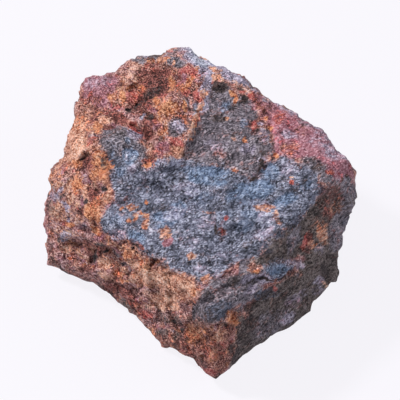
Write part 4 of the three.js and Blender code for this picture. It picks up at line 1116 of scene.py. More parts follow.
@dataclass
class OreLump:
    """The lump itself: its form, its minerals and its mesh."""

    cells: int = 128  # 6 * 128^2 * 2 = 196,608 triangles
    view: DisplayFrame = field(default_factory=DisplayFrame)
    relief_depths: Point = (-24.0, 0.0)  # the relief fades out between these, towards the back
    rough_depths: Point = (-14.0, 6.0)  # the back breaks more coarsely than the display side
    colour_depths: Point = (-36.0, -20.0)  # listed minerals fade out between these
    rust_edge: float = 2.0  # half the width over which the rusted ground ends
    crumble: Swell = Swell(10.0, 47, 2)  # where the rock crumbles into grains
    crumble_levels: Point = (-0.6, 0.7)
    grains: Chips = Chips(2.1, 71, 26.0, 1.6, 0.4, 57)
    grain_heights: Point = (0.25, 0.2)  # all over, and what crumbling adds
    rust_grain_heights: Point = (0.15, 0.4)  # what the rust adds to each
    streak_sizes: Point = (5.5, 1.9)  # the streaks' length and width
    streak_height: float = 0.4
    worn_height: float = 14.0  # below this the rock gets smoother towards the ground
    worn_share: float = 0.4  # the roughness left at the ground
    field_edge: Point = (-2.4, 2.0)  # depths inside a field's outline between which it fades in
    spot_edge: Point = (0.5, 1.5)  # shares of a spot's half size between which it fades out
    crumb_levels: Point = (0.1, 0.6)
    crumb_hiding: float = 0.95  # how far a field or spot keeps the crumbs away
    hidden_levels: Point = (0.75, 1.35)  # a hidden mineral's, were its share 0
    hidden_slope: float = 1.5  # how much lower they lie for a share of 1
    points: Array = field(init=False)
    triangles: Array = field(init=False)
    uvs: Array = field(init=False)
    masks: dict[str, Array] = field(init=False)

    def shape(self) -> None:
        """Work out the surface: blank, outline, relief, roughness and base, in that order."""
        grid = CubeGrid(self.cells)
        blank = Blank()
        rays = grid.rays
        shaped = Outline(self.view, blank).push(self.view.heart + blank.radius(rays)[:, None] * rays)
        across, up, out = self.view.read(shaped)
        wander = Wander(shaped, sizes=(7.0, 2.6), seeds=(11, 12, 13, 14), octaves=1)
        x, y = wander.move(across, up, coarse=1.6, fine=0.6)
        front = smooth_step(out, *self.relief_depths)
        height = Relief(PLATES, HOLLOWS, RIDGES).height(x, y)
        near = wander.move(across, up, coarse=0.0, fine=0.5)
        height += Relief([], FINE_HOLLOWS, FINE_RIDGES).height(*near)
        q = self.view.place(across, up, out + height * front)
        rust = smooth_step(depth_inside(x, y, RUSTED_GROUND), -self.rust_edge, self.rust_edge) * front
        back = 1.0 - smooth_step(out, *self.rough_depths)
        rough = self.roughness(q, rust, back)
        rough += self.streak_height * (1.0 - rust) * front * self.ripples(x, y)
        rough *= self.worn_share + (1.0 - self.worn_share) * smooth_step(q[:, 2], 0.0, self.worn_height)
        away = q - self.view.heart
        q = q + away / np.linalg.norm(away, axis=-1, keepdims=True) * rough[:, None]
        q[:, 2] = np.maximum(q[:, 2], 0.0)
        self.points = q
        self.triangles, self.uvs = grid.triangles(q)
        self.masks = self.mineral_masks(q, out, rust) | {"streaked": 1.0 - rust}
        self.masks |= self.hollowness(q)

    def roughness(self, points: Array, rust: Array, back: Array) -> Array:
        """Add up the breaks, the grains and the grit.

        Args:
            points: The surface so far, mm.
            rust: How far each point belongs to the rusted ground, from 0 to 1.
            back: How far it belongs to the back, from 0 to 1.

        Returns:
            Heights away from the heart, mm.
        """
        total = np.zeros(len(points))
        for kind in BREAKS:
            total += kind.at(points, rust, back)
        crumbly = smooth_step(self.crumble.at(points), *self.crumble_levels)
        (firm, more), (rusty, rusty_more) = self.grain_heights, self.rust_grain_heights
        total += (firm + more * crumbly + rust * (rusty + rusty_more * crumbly)) * self.grains.at(points)
        return total + GRIT.at(points, rust, back)

    def ripples(self, x: Array, y: Array) -> Array:
        """Give the fine streaks that rise to the right: noise drawn out along them.

        Args:
            x: Across, mm.
            y: Up, mm.

        Returns:
            Heights from -1.5 to 1.5.
        """
        turn = np.radians(STREAK_TURN)
        along, over = x * np.cos(turn) + y * np.sin(turn), y * np.cos(turn) - x * np.sin(turn)
        length, width = self.streak_sizes
        return Swell(1.0, 91, 2).at(np.stack([along / length, over / width, 0.0 * x], -1))

    def mineral_masks(self, points: Array, depth: Array, rust: Array) -> dict[str, Array]:
        """Say how much of each mineral lies at each point, from 0 to 1.

        On the display side the fields and spots give it, read through wandering coordinates so that
        their edges are ragged, and crumbs of other minerals lie among the rust and the tarnish.
        Behind it, noise of each mineral's own size and share takes over.

        Args:
            points: The surface, mm.
            depth: How far out each point was before its roughness, mm.
            rust: How far each point belongs to the rusted ground, from 0 to 1.

        Returns:
            One array for each mineral, by name.
        """
        across, up, _ = self.view.read(points)
        wander = Wander(points, sizes=(6.0, 1.7), seeds=(101, 103, 105, 107), octaves=2)
        shown = smooth_step(depth, *self.colour_depths)
        masks = {mineral.value: np.zeros(len(points)) for mineral in Mineral}

        def lay(mineral: Mineral, amount: Array) -> None:
            """Raise a mineral's mask to the amount wherever that is higher."""
            masks[mineral.value] = np.maximum(masks[mineral.value], amount)

        x, y = wander.move(across, up, coarse=1.5, fine=0.6)
        for area in FIELDS:
            inside = smooth_step(depth_inside(x, y, area.outline), *self.field_edge)
            lay(area.mineral, area.strength * inside)
        x, y = wander.move(across, up, coarse=0.7, fine=0.4)
        for mineral, spot in ((mineral, Spot(*row)) for mineral, rows in SPOTS.items() for row in rows):
            reach = oval_reach(x, y, (spot.x, spot.y), (spot.long, spot.wide), spot.turn)
            lay(mineral, spot.strength * (1.0 - smooth_step(reach, *self.spot_edge)))
        free = 1.0 - self.crumb_hiding * np.max(list(masks.values()), 0)
        for mineral, (size, seed, in_rust, in_tarnish) in CRUMBS.items():
            crumbs = smooth_step(Swell(size, seed, 2).at(points), *self.crumb_levels) * free
            lay(mineral, crumbs * (in_rust * rust + in_tarnish * (1.0 - rust)))
        for mineral, (size, seed, share) in HIDDEN_MINERALS.items():
            levels = (level - self.hidden_slope * share for level in self.hidden_levels)
            amount = smooth_step(Swell(size, seed, 3).at(points), *levels)
            masks[mineral.value] = masks[mineral.value] * shown + amount * (1.0 - shown)
        return masks

    def hollowness(self, points: Array) -> dict[str, Array]:
        """Say how far each point lies below or above the surface around it.

        The surface is averaged with its neighbours a few times and many times over. The way from a
        point to its averaged place, measured along the normal, is positive in a hollow.

        Args:
            points: The surface, mm.

        Returns:
            The arrays "crevice" and "hollow", from -1 on a crest to 1 in a pit.
        """
        ends = np.concatenate([self.triangles[:, pair] for pair in ([0, 1], [1, 2], [2, 0])])
        a, b, c = (points[self.triangles[:, k]] for k in range(3))
        flat = np.cross(b - a, c - a)
        count = len(points)
        normal = np.stack([sum(np.bincount(self.triangles[:, k], flat[:, axis], count) for k in range(3))
                           for axis in range(3)], -1)
        normal /= np.linalg.norm(normal, axis=-1, keepdims=True)
        degree = np.bincount(ends[:, 0], minlength=count)[:, None]
        soft, done, found = points.copy(), 0, {}
        for name, (rounds, full) in HOLLOW_SCALES.items():
            for _ in range(rounds - done):
                near = [np.bincount(ends[:, 0], soft[ends[:, 1], axis], count) for axis in range(3)]
                soft = 0.5 * soft + 0.5 * np.stack(near, -1) / degree
            done = rounds
            found[name] = np.clip(((soft - points) * normal).sum(-1) / full, -1.0, 1.0)
        return found

    def fit(self, low: Vector, high: Vector) -> Array:
        """Fit the surface to the solid's box, side by side.

        Args:
            low: The box's lowest corner, m.
            high: Its highest corner, m.

        Returns:
            The points in metres, and the same map for the heart as the last row.
        """
        lowest, highest = self.points.min(0), self.points.max(0)
        scale = (np.array(high) - np.array(low)) / (highest - lowest)
        both = np.vstack([self.points, self.view.heart])
        return (both - lowest) * scale + np.array(low)

    def build(self, name: str) -> tuple[bpy.types.Object, Vector]:
        """Make the mesh, with its bake map and one attribute for each mask.

        Args:
            name: The piece's name.

        Returns:
            The object, and the heart's place in metres.
        """
        self.shape()
        places = self.fit(*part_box(NODE))
        mesh = bpy.data.meshes.new(name)
        mesh.from_pydata(places[:-1].tolist(), [], self.triangles.tolist())
        layer = mesh.uv_layers.new(name="OFBake")
        layer.data.foreach_set("uv", self.uvs.ravel())
        for mask, values in self.masks.items():
            attribute = mesh.attributes.new(mask, "FLOAT", "POINT")
            attribute.data.foreach_set("value", values.astype(np.float32))
        mesh.polygons.foreach_set("use_smooth", np.ones(len(self.triangles), bool))
        mesh.update()
        lump = bpy.data.objects.new(name, mesh)
        bpy.context.scene.collection.objects.link(lump)
        return lump, Vector(places[-1])


# ---- finish
def paint(red: int, green: int, blue: int) -> tuple[float, float, float, float]:
    """Turn a screen colour from 0 to 255 into the linear colour that shaders use."""
    screen = np.array([red, green, blue]) / 255.0
    linear = np.where(screen <= 0.04045, screen / 12.92, ((screen + 0.055) / 1.055) ** 2.4)
    return (*linear.tolist(), 1.0)


@dataclass(frozen=True)
class Paint:
    """One mineral's shades, from its pits to its bright grains, those of the odd crystals among
    them, and how ragged its edge is."""

    dark: tuple[int, int, int]
    middle: tuple[int, int, int]
    light: tuple[int, int, int]
    odd: tuple[int, int, int]
    ragged: float = 0.9


# the darkest paints also stand for painted shade, and the palest for painted glints and highlights, where
# their masks put them
MINERAL_PAINTS = {
    Mineral.UMBER: Paint((42, 34, 34), (92, 79, 77), (149, 134, 130), (114, 79, 68)),
    Mineral.GRAPHITE: Paint((52, 47, 54), (112, 102, 112), (174, 164, 174), (146, 102, 98)),
    Mineral.ROSE: Paint((92, 50, 54), (174, 120, 120), (236, 196, 194), (200, 116, 94), 0.8),
    Mineral.TAN: Paint((138, 78, 58), (208, 143, 117), (248, 202, 178), (214, 124, 86), 1.0),
    Mineral.TARNISH: Paint((44, 46, 57), (109, 111, 131), (186, 190, 211), (126, 112, 120)),
    Mineral.BLUE: Paint((60, 72, 94), (112, 131, 162), (174, 191, 219), (108, 112, 132), 0.6),
    Mineral.PALE_BLUE_AND_HIGHLIGHT: Paint((104, 104, 126), (172, 172, 198), (234, 236, 250), (180, 160, 180)),
    Mineral.INK_AND_SHADE: Paint((34, 36, 46), (72, 74, 90), (126, 130, 150), (88, 78, 84)),
    Mineral.LILAC: Paint((90, 80, 96), (168, 155, 178), (230, 220, 238), (176, 134, 148), 0.7),
    Mineral.RASPBERRY: Paint((118, 66, 78), (169, 109, 121), (212, 162, 174), (194, 88, 92), 0.9),
    Mineral.MAROON: Paint((44, 15, 14), (109, 53, 48), (186, 113, 102), (158, 72, 56), 0.9),
    Mineral.CRIMSON: Paint((100, 32, 34), (186, 84, 80), (232, 150, 140), (212, 100, 70)),
    Mineral.OCHRE: Paint((140, 62, 34), (212, 131, 90), (248, 184, 142), (200, 90, 62), 1.3),
    Mineral.PALE_AND_HIGHLIGHT: Paint((162, 98, 76), (240, 176, 146), (254, 220, 200), (226, 146, 112)),
    Mineral.BLACK_AND_SHADE: Paint((26, 18, 19), (54, 42, 43), (98, 82, 82), (84, 52, 44)),
}


class NodeSketch:
    """Adds nodes to a shader or group tree and links them, from left to right."""

    def __init__(self, tree: bpy.types.NodeTree) -> None:
        """Keep the tree that the nodes go into."""
        self.tree = tree
        self.count = 0

    def add(self, kind: str, **inputs: object) -> bpy.types.Node:
        """Add a node and set or link its inputs.

        Args:
            kind: The node's type.
            inputs: Property values by their lower-case names, and sockets by theirs. An underscore
                stands for a space in a socket's name, and a leading one plus a number for its place.

        Returns:
            The node.
        """
        node = self.tree.nodes.new(kind)
        self.count += 1
        node.location = (200 * (self.count % 12), -260 * (self.count // 12))
        for key, value in inputs.items():
            if key.startswith("_"):
                self.feed(node.inputs[int(key[1:])], value)
            elif key.lower() == key:
                setattr(node, key, value)
            else:
                self.feed(node.inputs[key.replace("_", " ")], value)
        return node

    def feed(self, socket: bpy.types.NodeSocket, value: object) -> None:
        """Link a socket to the input, or set the input's value."""
        if isinstance(value, bpy.types.NodeSocket):
            self.tree.links.new(value, socket)
        else:
            socket.default_value = value

    def maths(self, operation: str, first: object, second: object = 0.0, clamp: bool = False) -> object:
        """Give the result of a maths operation on two numbers or sockets."""
        node = self.add("ShaderNodeMath", operation=operation, use_clamp=clamp, _0=first, _1=second)
        return node.outputs[0]

    def weigh(self, start: float, *rows: tuple[object, float, float]) -> object:
        """Add up weight * (value - middle) over the rows of value, middle and weight, from a start.

        Args:
            start: The number to start from.
            rows: The sockets, each with its middle and its weight.

        Returns:
            The sum's socket.
        """
        total = start - sum(middle * weight for _, middle, weight in rows)
        for value, _, weight in rows:
            node = self.add("ShaderNodeMath", operation="MULTIPLY_ADD", _0=value, _1=weight, _2=total)
            total = node.outputs[0]
        return total

    def ramp(self, value: object, low: float, high: float, start: float = 0.0, end: float = 1.0) -> object:
        """Map a value from low..high to start..end, smoothly and held at both ends."""
        node = self.add("ShaderNodeMapRange", interpolation_type="SMOOTHSTEP", _0=value, _1=low, _2=high,
                        _3=start, _4=end)
        return node.outputs[0]

    def mix(self, share: object, first: object, second: object, blend: str = "MIX") -> object:
        """Mix two colours by a share, or blend the second over the first."""
        node = self.add("ShaderNodeMix", data_type="RGBA", blend_type=blend, _0=share, _6=first, _7=second)
        return node.outputs[2]


def make_group(name: str, inputs: dict[str, str], outputs: dict[str, str]) -> tuple[NodeSketch, dict, dict]:
    """Make an empty shader group with named sockets.

    Args:
        name: The group's name.
        inputs: Socket types by input name.
        outputs: Socket types by output name.

    Returns:
        The sketch to add nodes to, the group's input sockets by name, and its output sockets by name.
    """
    tree = bpy.data.node_groups.new(name, "ShaderNodeTree")
    for names, way in ((inputs, "INPUT"), (outputs, "OUTPUT")):
        for socket, kind in names.items():
            tree.interface.new_socket(socket, in_out=way, socket_type=kind)
    sketch = NodeSketch(tree)
    start, end = sketch.add("NodeGroupInput"), sketch.add("NodeGroupOutput")
    return sketch, {n: start.outputs[n] for n in inputs}, {n: end.inputs[n] for n in outputs}


FLOAT, COLOR, VECTOR = "NodeSocketFloat", "NodeSocketColor", "NodeSocketVector"


def bend(sketch: NodeSketch, given: dict, detail: float, roughness: float, reach: float) -> tuple:
    """Add noise of a group's size, and its vector moved by it, so that cells drawn on it have bent edges.

    Args:
        sketch: The group.
        given: Its input sockets, with Vector and Size.
        detail: The noise's octaves.
        roughness: How strong its finer octaves are.
        reach: How far the vector moves, as a share of the size.

    Returns:
        The scale, the noise node and the moved vector.
    """
    scale = sketch.maths("DIVIDE", 1.0 / MM, given["Size"])
    noise = sketch.add("ShaderNodeTexNoise", Vector=given["Vector"], Scale=scale, Detail=detail,
                       Roughness=roughness)
    far = sketch.maths("MULTIPLY", given["Size"], reach * MM)
    drift = sketch.add("ShaderNodeVectorMath", operation="SCALE", _0=noise.outputs["Color"], Scale=far)
    bent = sketch.add("ShaderNodeVectorMath", operation="ADD", _0=given["Vector"], _1=drift.outputs[0])
    return scale, noise, bent.outputs[0]


def grain_group() -> bpy.types.NodeTree:
    """Make the group "Broken grain": loose noise for tone and tint, and crystals for tone and facets.

    A facet is a plane through its crystal's heart: the way from the heart, in crystal sizes, times a
    random tilt.
    """
    sketch, given, out = make_group(
        "Broken grain", {"Vector": VECTOR, "Size": FLOAT},
        {"Soft": FLOAT, "Crystal": FLOAT, "Tint": FLOAT, "Facet": FLOAT})
    scale, noise, bent = bend(sketch, given, detail=2.0, roughness=0.6, reach=0.35)
    cells = sketch.add("ShaderNodeTexVoronoi", Vector=bent, Scale=scale)
    random = sketch.add("ShaderNodeSeparateColor", Color=cells.outputs["Color"])
    loose = sketch.add("ShaderNodeSeparateColor", Color=noise.outputs["Color"])
    darkest, brightest = 0.28, 0.72  # the noise seldom goes past these
    for name, value in (("Soft", noise.outputs[0]), ("Tint", loose.outputs[1])):
        spread = sketch.add("ShaderNodeMapRange", _0=value, _1=darkest, _2=brightest)
        sketch.feed(out[name], spread.outputs[0])
    sketch.feed(out["Crystal"], random.outputs[0])
    way = sketch.add("ShaderNodeVectorMath", operation="SUBTRACT", _0=bent, _1=cells.outputs["Position"])
    way = sketch.add("ShaderNodeVectorMath", operation="SCALE", _0=way.outputs[0], Scale=scale)
    tilt = sketch.add("ShaderNodeVectorMath", operation="MULTIPLY_ADD", _0=cells.outputs["Color"],
                      _1=(2.0, 2.0, 2.0), _2=(-1.0, -1.0, -1.0))
    plane = sketch.add("ShaderNodeVectorMath", operation="DOT_PRODUCT", _0=way.outputs[0], _1=tilt.outputs[0])
    sketch.feed(out["Facet"], plane.outputs["Value"])
    return sketch.tree


def crack_group() -> bpy.types.NodeTree:
    """Make the group "Cracks": thin lines between broken pieces, each fading in and out."""
    sketch, given, out = make_group("Cracks", {"Vector": VECTOR, "Size": FLOAT}, {"Crack": FLOAT})
    scale, noise, bent = bend(sketch, given, detail=3.0, roughness=0.7, reach=1.3)
    cells = sketch.add("ShaderNodeTexVoronoi", feature="DISTANCE_TO_EDGE", Vector=bent, Scale=scale)
    core, edge = 0.01, 0.07  # a line's half widths, full and faded, as shares of a piece
    line = sketch.ramp(cells.outputs["Distance"], core, edge, 1.0, 0.0)
    shown = sketch.ramp(noise.outputs[0], 0.4, 0.56)
    sketch.feed(out["Crack"], sketch.maths("MULTIPLY", line, shown))
    return sketch.tree


@dataclass(frozen=True)
class Laying:
    """How a mineral's shades are mixed, and how its mask becomes its cover."""

    middle_tone: float = 0.5  # the tone at which the middle shade is pure
    light_tone: float = 1.05  # and the light one
    odd_tints: Point = (0.5, 0.85)  # the odd crystals come in between these tints
    odd_share: float = 0.85  # and cover the others this far
    odd_tones: Point = (-0.1, 1.1)  # between these tones they go from dark to bright
    odd_lights: Point = (0.2, 1.9)  # by these factors
    cover_levels: Point = (0.24, 0.74)  # the scattered mask covers between these
    edge_levels: Point = (0.02, 0.25)  # and a weak mask holds it back between these

    def group(self) -> bpy.types.NodeTree:
        """Make the group "Mineral": a base colour, overlaid by the shades where a mask says so."""
        sketch, given, out = make_group(
            "Mineral",
            {"Base": COLOR, "Dark": COLOR, "Middle": COLOR, "Light": COLOR, "Odd": COLOR, "Tone": FLOAT,
             "Tint": FLOAT, "Mask": FLOAT, "Scatter": FLOAT, "Ragged": FLOAT},
            {"Color": COLOR, "Cover": FLOAT})
        tone = given["Tone"]
        shades = sketch.mix(sketch.ramp(tone, 0.0, self.middle_tone), given["Dark"], given["Middle"])
        shades = sketch.mix(sketch.ramp(tone, self.middle_tone, self.light_tone), shades, given["Light"])
        lit = sketch.add("ShaderNodeVectorMath", operation="SCALE", _0=given["Odd"],
                         Scale=sketch.ramp(tone, *self.odd_tones, *self.odd_lights)).outputs[0]
        odd = sketch.ramp(given["Tint"], *self.odd_tints, 0.0, self.odd_share)
        shades = sketch.mix(odd, shades, lit)
        swing = sketch.maths("MULTIPLY", sketch.maths("SUBTRACT", given["Scatter"], 0.5), given["Ragged"])
        cover = sketch.ramp(sketch.maths("ADD", given["Mask"], swing), *self.cover_levels)
        solid = sketch.maths("MULTIPLY", cover, sketch.ramp(given["Mask"], *self.edge_levels))
        sketch.feed(out["Color"], sketch.mix(solid, given["Base"], shades))
        sketch.feed(out["Cover"], solid)
        return sketch.tree


Values = dict[str, dict]  # sockets by the name of their layer, and then by their own


@dataclass(frozen=True)
class Blend:
    """A sum over layers of grain: where it starts, and rows of layer, value, middle and weight."""

    start: float
    rows: tuple[tuple[str, str, float, float], ...]

    def add(self, sketch: NodeSketch, values: Values, *more: tuple[object, float, float]) -> object:
        """Add the sum's nodes.

        Args:
            sketch: The shader.
            values: The layers' sockets.
            more: Sockets to count first, each with its middle and its weight.

        Returns:
            The sum's socket.
        """
        rows = [(values[layer][value], middle, weight) for layer, value, middle, weight in self.rows]
        return sketch.weigh(self.start, *more, *rows)


@dataclass(frozen=True)
class OreFinish:
    """The lump's material: rust brown ground with the other minerals laid over it by their masks.

    Sizes are in mm. The tone runs from 0 in the darkest grain to 1 in the brightest. The tint brings
    in the odd crystals, and the scatter makes the minerals' edges ragged.
    """

    ground: Paint = Paint((72, 36, 33), (164, 105, 95), (234, 184, 168), (200, 108, 76))
    minerals: dict[Mineral, Paint] = field(default_factory=lambda: MINERAL_PAINTS)
    laying: Laying = Laying()
    view: DisplayFrame = field(default_factory=DisplayFrame)
    fine: float = 0.35
    medium: float = 1.1
    coarse: float = 5.0
    streak: float = 0.75
    stretch: float = 1.7  # how much longer the grain is along the bedding
    crack_piece: float = 2.2  # the pieces between the cracks
    # the cracks darken the tone by this: painted shade along them
    crack_shade: float = -0.3
    crack_height: float = -0.6
    grit: Blend = Blend(0.0, (("fine", "Crystal", 0.5, 1.16), ("fine", "Soft", 0.5, 0.34),
                              ("medium", "Crystal", 0.5, 0.05), ("medium", "Soft", 0.5, 0.07)))
    contrast: Blend = Blend(1.0, (("mask", "streaked", 0.0, -0.2), ("coarse", "Tint", 0.5, 0.5)))
    # the crevice and hollow rows lower the tone where the surface lies low: painted shade
    tone: Blend = Blend(0.5, (("coarse", "Soft", 0.5, 0.4), ("mask", "crevice", 0.0, -0.06),
                              ("mask", "hollow", 0.0, -0.1)))
    lines: Blend = Blend(0.0, (("streaks", "Soft", 0.5, 0.13), ("streaks", "Crystal", 0.5, 0.06)))
    lift: float = 0.02
    tint: Blend = Blend(0.46, (("medium", "Tint", 0.5, 0.42), ("coarse", "Tint", 0.5, 0.5),
                               ("fine", "Tint", 0.5, 0.14)))
    scatter: Blend = Blend(0.5, (("medium", "Soft", 0.5, 0.5), ("fine", "Tint", 0.5, 0.1),
                                 ("medium", "Tint", 0.5, 0.3), ("coarse", "Soft", 0.5, 0.3)))
    facets: Blend = Blend(0.0, (("fine", "Facet", 0.0, 1.05), ("medium", "Facet", 0.0, 0.42)))
    flattening: Blend = Blend(1.0, (("mask", "streaked", 0.0, -0.5),))
    relief: Blend = Blend(0.0, (("fine", "Soft", 0.0, 0.16), ("medium", "Soft", 0.0, 0.1),
                                ("coarse", "Facet", 0.0, 1.2)))
    beds: Blend = Blend(0.0, (("streaks", "Soft", 0.0, 0.34), ("streaks", "Facet", 0.0, 0.42)))
    bed_height: float = 0.6
    bump: float = 0.26
    crevice_shade_levels: Point = (0.4, 1.0)  # painted shade: crevices darken between these
    crevice_shade_share: float = 0.75  # to this share
    rough_tones: Point = (0.1, 0.9)  # between these tones
    roughnesses: Point = (0.92, 0.6)  # the roughness goes from the dark grains' to the bright ones'

    def bedding(self) -> tuple[float, float, float]:
        """Give the turn, as an Euler angle, of axes along the bedding lines, over them and out."""
        across, up, out = (Vector(axis) for axis in self.view.axes)
        turn = np.radians(STREAK_TURN)
        along, over = np.cos(turn) * across + np.sin(turn) * up, np.cos(turn) * up - np.sin(turn) * across
        return tuple(Matrix((along, over, out)).transposed().to_euler())

    def layers(self, sketch: NodeSketch) -> tuple[Values, object]:
        """Add the masks, the four layers of grain and the cracks.

        The streaked ground reads its fine and medium grain along the bedding, the rust as it lies.

        Args:
            sketch: The shader.

        Returns:
            The sockets by layer and name, with the masks as one layer, and the cracks' socket.
        """
        vector = sketch.add("ShaderNodeTexCoord").outputs["Object"]
        lain = sketch.add("ShaderNodeMapping", vector_type="TEXTURE", Vector=vector,
                          Rotation=self.bedding(), Scale=(self.stretch, 1.0, 1.0)).outputs[0]
        names = [mineral.value for mineral in Mineral] + [*HOLLOW_SCALES, "streaked"]
        masks = {name: sketch.add("ShaderNodeAttribute", attribute_name=name).outputs["Fac"]
                 for name in names}
        drawn = sketch.maths("GREATER_THAN", masks["streaked"], 0.5)
        flow = sketch.add("ShaderNodeMix", data_type="VECTOR", _0=drawn, _4=vector, _5=lain).outputs[1]
        tree = grain_group()
        kinds = {"fine": (flow, self.fine), "medium": (flow, self.medium), "coarse": (vector, self.coarse),
                 "streaks": (lain, self.streak)}
        values: Values = {
            name: sketch.add("ShaderNodeGroup", node_tree=tree, Vector=way, Size=size).outputs
            for name, (way, size) in kinds.items()}
        values["mask"] = masks
        split = sketch.add("ShaderNodeGroup", node_tree=crack_group(), Vector=lain, Size=self.crack_piece)
        return values, split.outputs["Crack"]

    def colour(self, sketch: NodeSketch, values: Values, tone: object) -> object:
        """Add the ground and each mineral over it, in the order of Mineral, and paint shade into the
        crevices.

        Args:
            sketch: The shader.
            values: The layers' sockets.
            tone: The tone's socket.

        Returns:
            The colour's socket.
        """
        tint, scatter = self.tint.add(sketch, values), self.scatter.add(sketch, values)
        overlay = self.laying.group()
        everywhere = 2.0  # more than any scatter takes away
        rows = [(self.ground, everywhere)]
        rows += [(self.minerals[mineral], values["mask"][mineral.value]) for mineral in Mineral]
        colour = paint(*self.ground.middle)
        for shades, mask in rows:
            node = sketch.add(
                "ShaderNodeGroup", node_tree=overlay, Base=colour, Dark=paint(*shades.dark),
                Middle=paint(*shades.middle), Light=paint(*shades.light), Odd=paint(*shades.odd),
                Tone=tone, Tint=tint, Mask=mask, Scatter=scatter, Ragged=shades.ragged)
            colour = node.outputs["Color"]
        # painted shade: the colour darkens where the surface lies below its surroundings
        pits = sketch.ramp(values["mask"]["crevice"], *self.crevice_shade_levels, 1.0, self.crevice_shade_share)
        shade = sketch.add("ShaderNodeCombineColor", _0=pits, _1=pits, _2=pits).outputs[0]
        return sketch.mix(1.0, colour, shade, "MULTIPLY")

    def height(self, sketch: NodeSketch, values: Values, crack: object) -> object:
        """Add up the bump's height: facets and soft grain, beds in the streaked ground, and cracks.

        Args:
            sketch: The shader.
            values: The layers' sockets.
            crack: The cracks' socket.

        Returns:
            The height's socket.
        """
        facets = self.facets.add(sketch, values)
        facets = sketch.maths("MULTIPLY", facets, self.flattening.add(sketch, values))
        height = self.relief.add(sketch, values, (facets, 0.0, 1.0))
        beds = sketch.maths("MULTIPLY", self.beds.add(sketch, values), values["mask"]["streaked"])
        return sketch.weigh(0.0, (height, 0.0, 1.0), (beds, 0.0, self.bed_height),
                            (crack, 0.0, self.crack_height))

    def material(self) -> bpy.types.Material:
        """Make the material, whose colour, roughness and bump all come from nodes."""
        material = bpy.data.materials.new("Copper ore")
        material.use_nodes = True
        material.node_tree.nodes.clear()
        sketch = NodeSketch(material.node_tree)
        values, crack = self.layers(sketch)
        streaked = values["mask"]["streaked"]
        grit = self.grit.add(sketch, values)
        grit = sketch.maths("MULTIPLY", grit, self.contrast.add(sketch, values))
        tone = self.tone.add(sketch, values, (grit, 0.0, 1.0))
        lines = sketch.maths("MULTIPLY", self.lines.add(sketch, values), streaked)
        tone = sketch.maths("ADD", tone, lines)
        tone = sketch.weigh(self.lift, (tone, 0.0, 1.0), (crack, 0.0, self.crack_shade))
        bump = sketch.add("ShaderNodeBump", Strength=1.0, Distance=self.bump * MM,
                          Height=self.height(sketch, values, crack))
        surface = sketch.add(
            "ShaderNodeBsdfPrincipled", Base_Color=self.colour(sketch, values, tone),
            Roughness=sketch.ramp(tone, *self.rough_tones, *self.roughnesses), IOR=1.5,
            Normal=bump.outputs[0])
        sketch.add("ShaderNodeOutputMaterial", Surface=surface.outputs[0])
        return material


# ---- studio
@dataclass(frozen=True)
class Lamp:
    """A square soft light: its direction from the heart as across, up and out, watts, side and colour."""

    name: str
    way: tuple[float, float, float]
    power: float
    size: float
    colour: tuple[float, float, float]


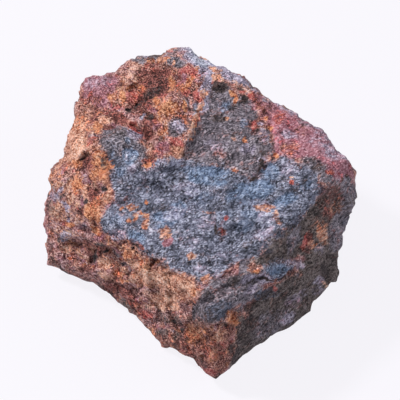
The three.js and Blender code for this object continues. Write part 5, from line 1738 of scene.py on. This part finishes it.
@dataclass
class Studio:
    """A plain pale floor, soft light and the camera on the display side."""

    lump: OreLump
    heart: Vector
    distance: float = 0.9  # of the camera and the lamps from the heart, m
    width_seen: float = 0.1262
    sensor: float = 36.0
    aim_up: float = 1.9 * MM
    lamps: tuple[Lamp, ...] = (
        Lamp("Key", (-0.66, 0.66, 0.5), 8.08, 0.12, (1.0, 0.975, 0.985)),
        Lamp("Fill", (0.75, 0.2, 0.65), 2.4, 0.6, (0.92, 0.95, 1.0)),
    )
    sky: tuple[float, float, float, float] = (0.93, 0.96, 1.0, 1.0)
    sky_strength: float = 0.32
    floor_side: float = 4.0  # half of it, m
    floor_lit: tuple[int, int, int] = (214, 214, 222)  # as the light meets it
    floor_seen: tuple[int, int, int] = (252, 250, 255)  # as the camera sees it
    floor_glow: float = 0.9  # how far what the camera sees is this glow

    def look(self, obj: bpy.types.Object, target: Vector) -> None:
        """Turn a camera or light to face a point, with its own up side up."""
        obj.rotation_euler = (target - obj.location).to_track_quat("-Z", "Y").to_euler()

    def camera(self) -> None:
        """Make the camera, straight out from the heart along the display axis."""
        _, up, out = (Vector(axis) for axis in self.lump.view.axes)
        data = bpy.data.cameras.new("Camera")
        data.sensor_width = self.sensor
        data.lens = self.sensor * self.distance / self.width_seen
        data.clip_start, data.clip_end = 0.01, 20.0
        camera = bpy.data.objects.new("Camera", data)
        target = self.heart + self.aim_up * up
        camera.location = target + self.distance * out
        bpy.context.scene.collection.objects.link(camera)
        self.look(camera, target)
        bpy.context.scene.camera = camera

    def light(self, lamp: Lamp) -> None:
        """Add a lamp, facing the heart."""
        data = bpy.data.lights.new(lamp.name, "AREA")
        data.energy, data.size, data.color = lamp.power, lamp.size, lamp.colour
        light = bpy.data.objects.new(lamp.name, data)
        towards = Vector(np.array(lamp.way) @ self.lump.view.axes).normalized()
        light.location = self.heart + self.distance * towards
        bpy.context.scene.collection.objects.link(light)
        self.look(light, self.heart)

    def floor(self) -> None:
        """Lay the floor: pale to the camera, and a plain grey-white to the light that it bounces."""
        side = self.floor_side
        corners = [(-side, -side, 0.0), (side, -side, 0.0), (side, side, 0.0), (-side, side, 0.0)]
        mesh = bpy.data.meshes.new("Floor")
        mesh.from_pydata(corners, [], [(0, 1, 2, 3)])
        floor = bpy.data.objects.new("Floor", mesh)
        bpy.context.scene.collection.objects.link(floor)
        material = bpy.data.materials.new("Floor")
        material.use_nodes = True
        material.node_tree.nodes.clear()
        sketch = NodeSketch(material.node_tree)
        matt = sketch.add("ShaderNodeBsdfDiffuse", Color=paint(*self.floor_lit))
        glow = sketch.add("ShaderNodeEmission", Color=paint(*self.floor_seen), Strength=1.0)
        seen = sketch.add("ShaderNodeLightPath").outputs["Is Camera Ray"]
        share = sketch.maths("MULTIPLY", seen, self.floor_glow)
        both = sketch.add("ShaderNodeMixShader", _0=share, _1=matt.outputs[0], _2=glow.outputs[0])
        sketch.add("ShaderNodeOutputMaterial", Surface=both.outputs[0])
        mesh.materials.append(material)

    def build(self) -> None:
        """Set up the camera, the lights, the sky and the floor."""
        self.camera()
        for lamp in self.lamps:
            self.light(lamp)
        world = bpy.data.worlds.new("Sky")
        world.use_nodes = True
        sky = world.node_tree.nodes["Background"]
        sky.inputs["Color"].default_value = self.sky
        sky.inputs["Strength"].default_value = self.sky_strength
        bpy.context.scene.world = world
        bpy.context.scene.view_settings.view_transform = "Standard"
        self.floor()


def main() -> None:
    """Build the lump, dress it, and set up the studio."""
    logging.basicConfig(level=logging.INFO, format="%(name)s: %(message)s")
    lump = OreLump()
    piece, heart = lump.build("ore_lump")
    piece.data.materials.append(OreFinish().material())
    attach(piece, BODY)
    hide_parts(NODE)
    LOG.info("ore_lump: %d points, %d triangles", len(lump.points), len(lump.triangles))
    Studio(lump, heart).build()
    LOG.info("sizes written")


if __name__ == "__main__":
    main()
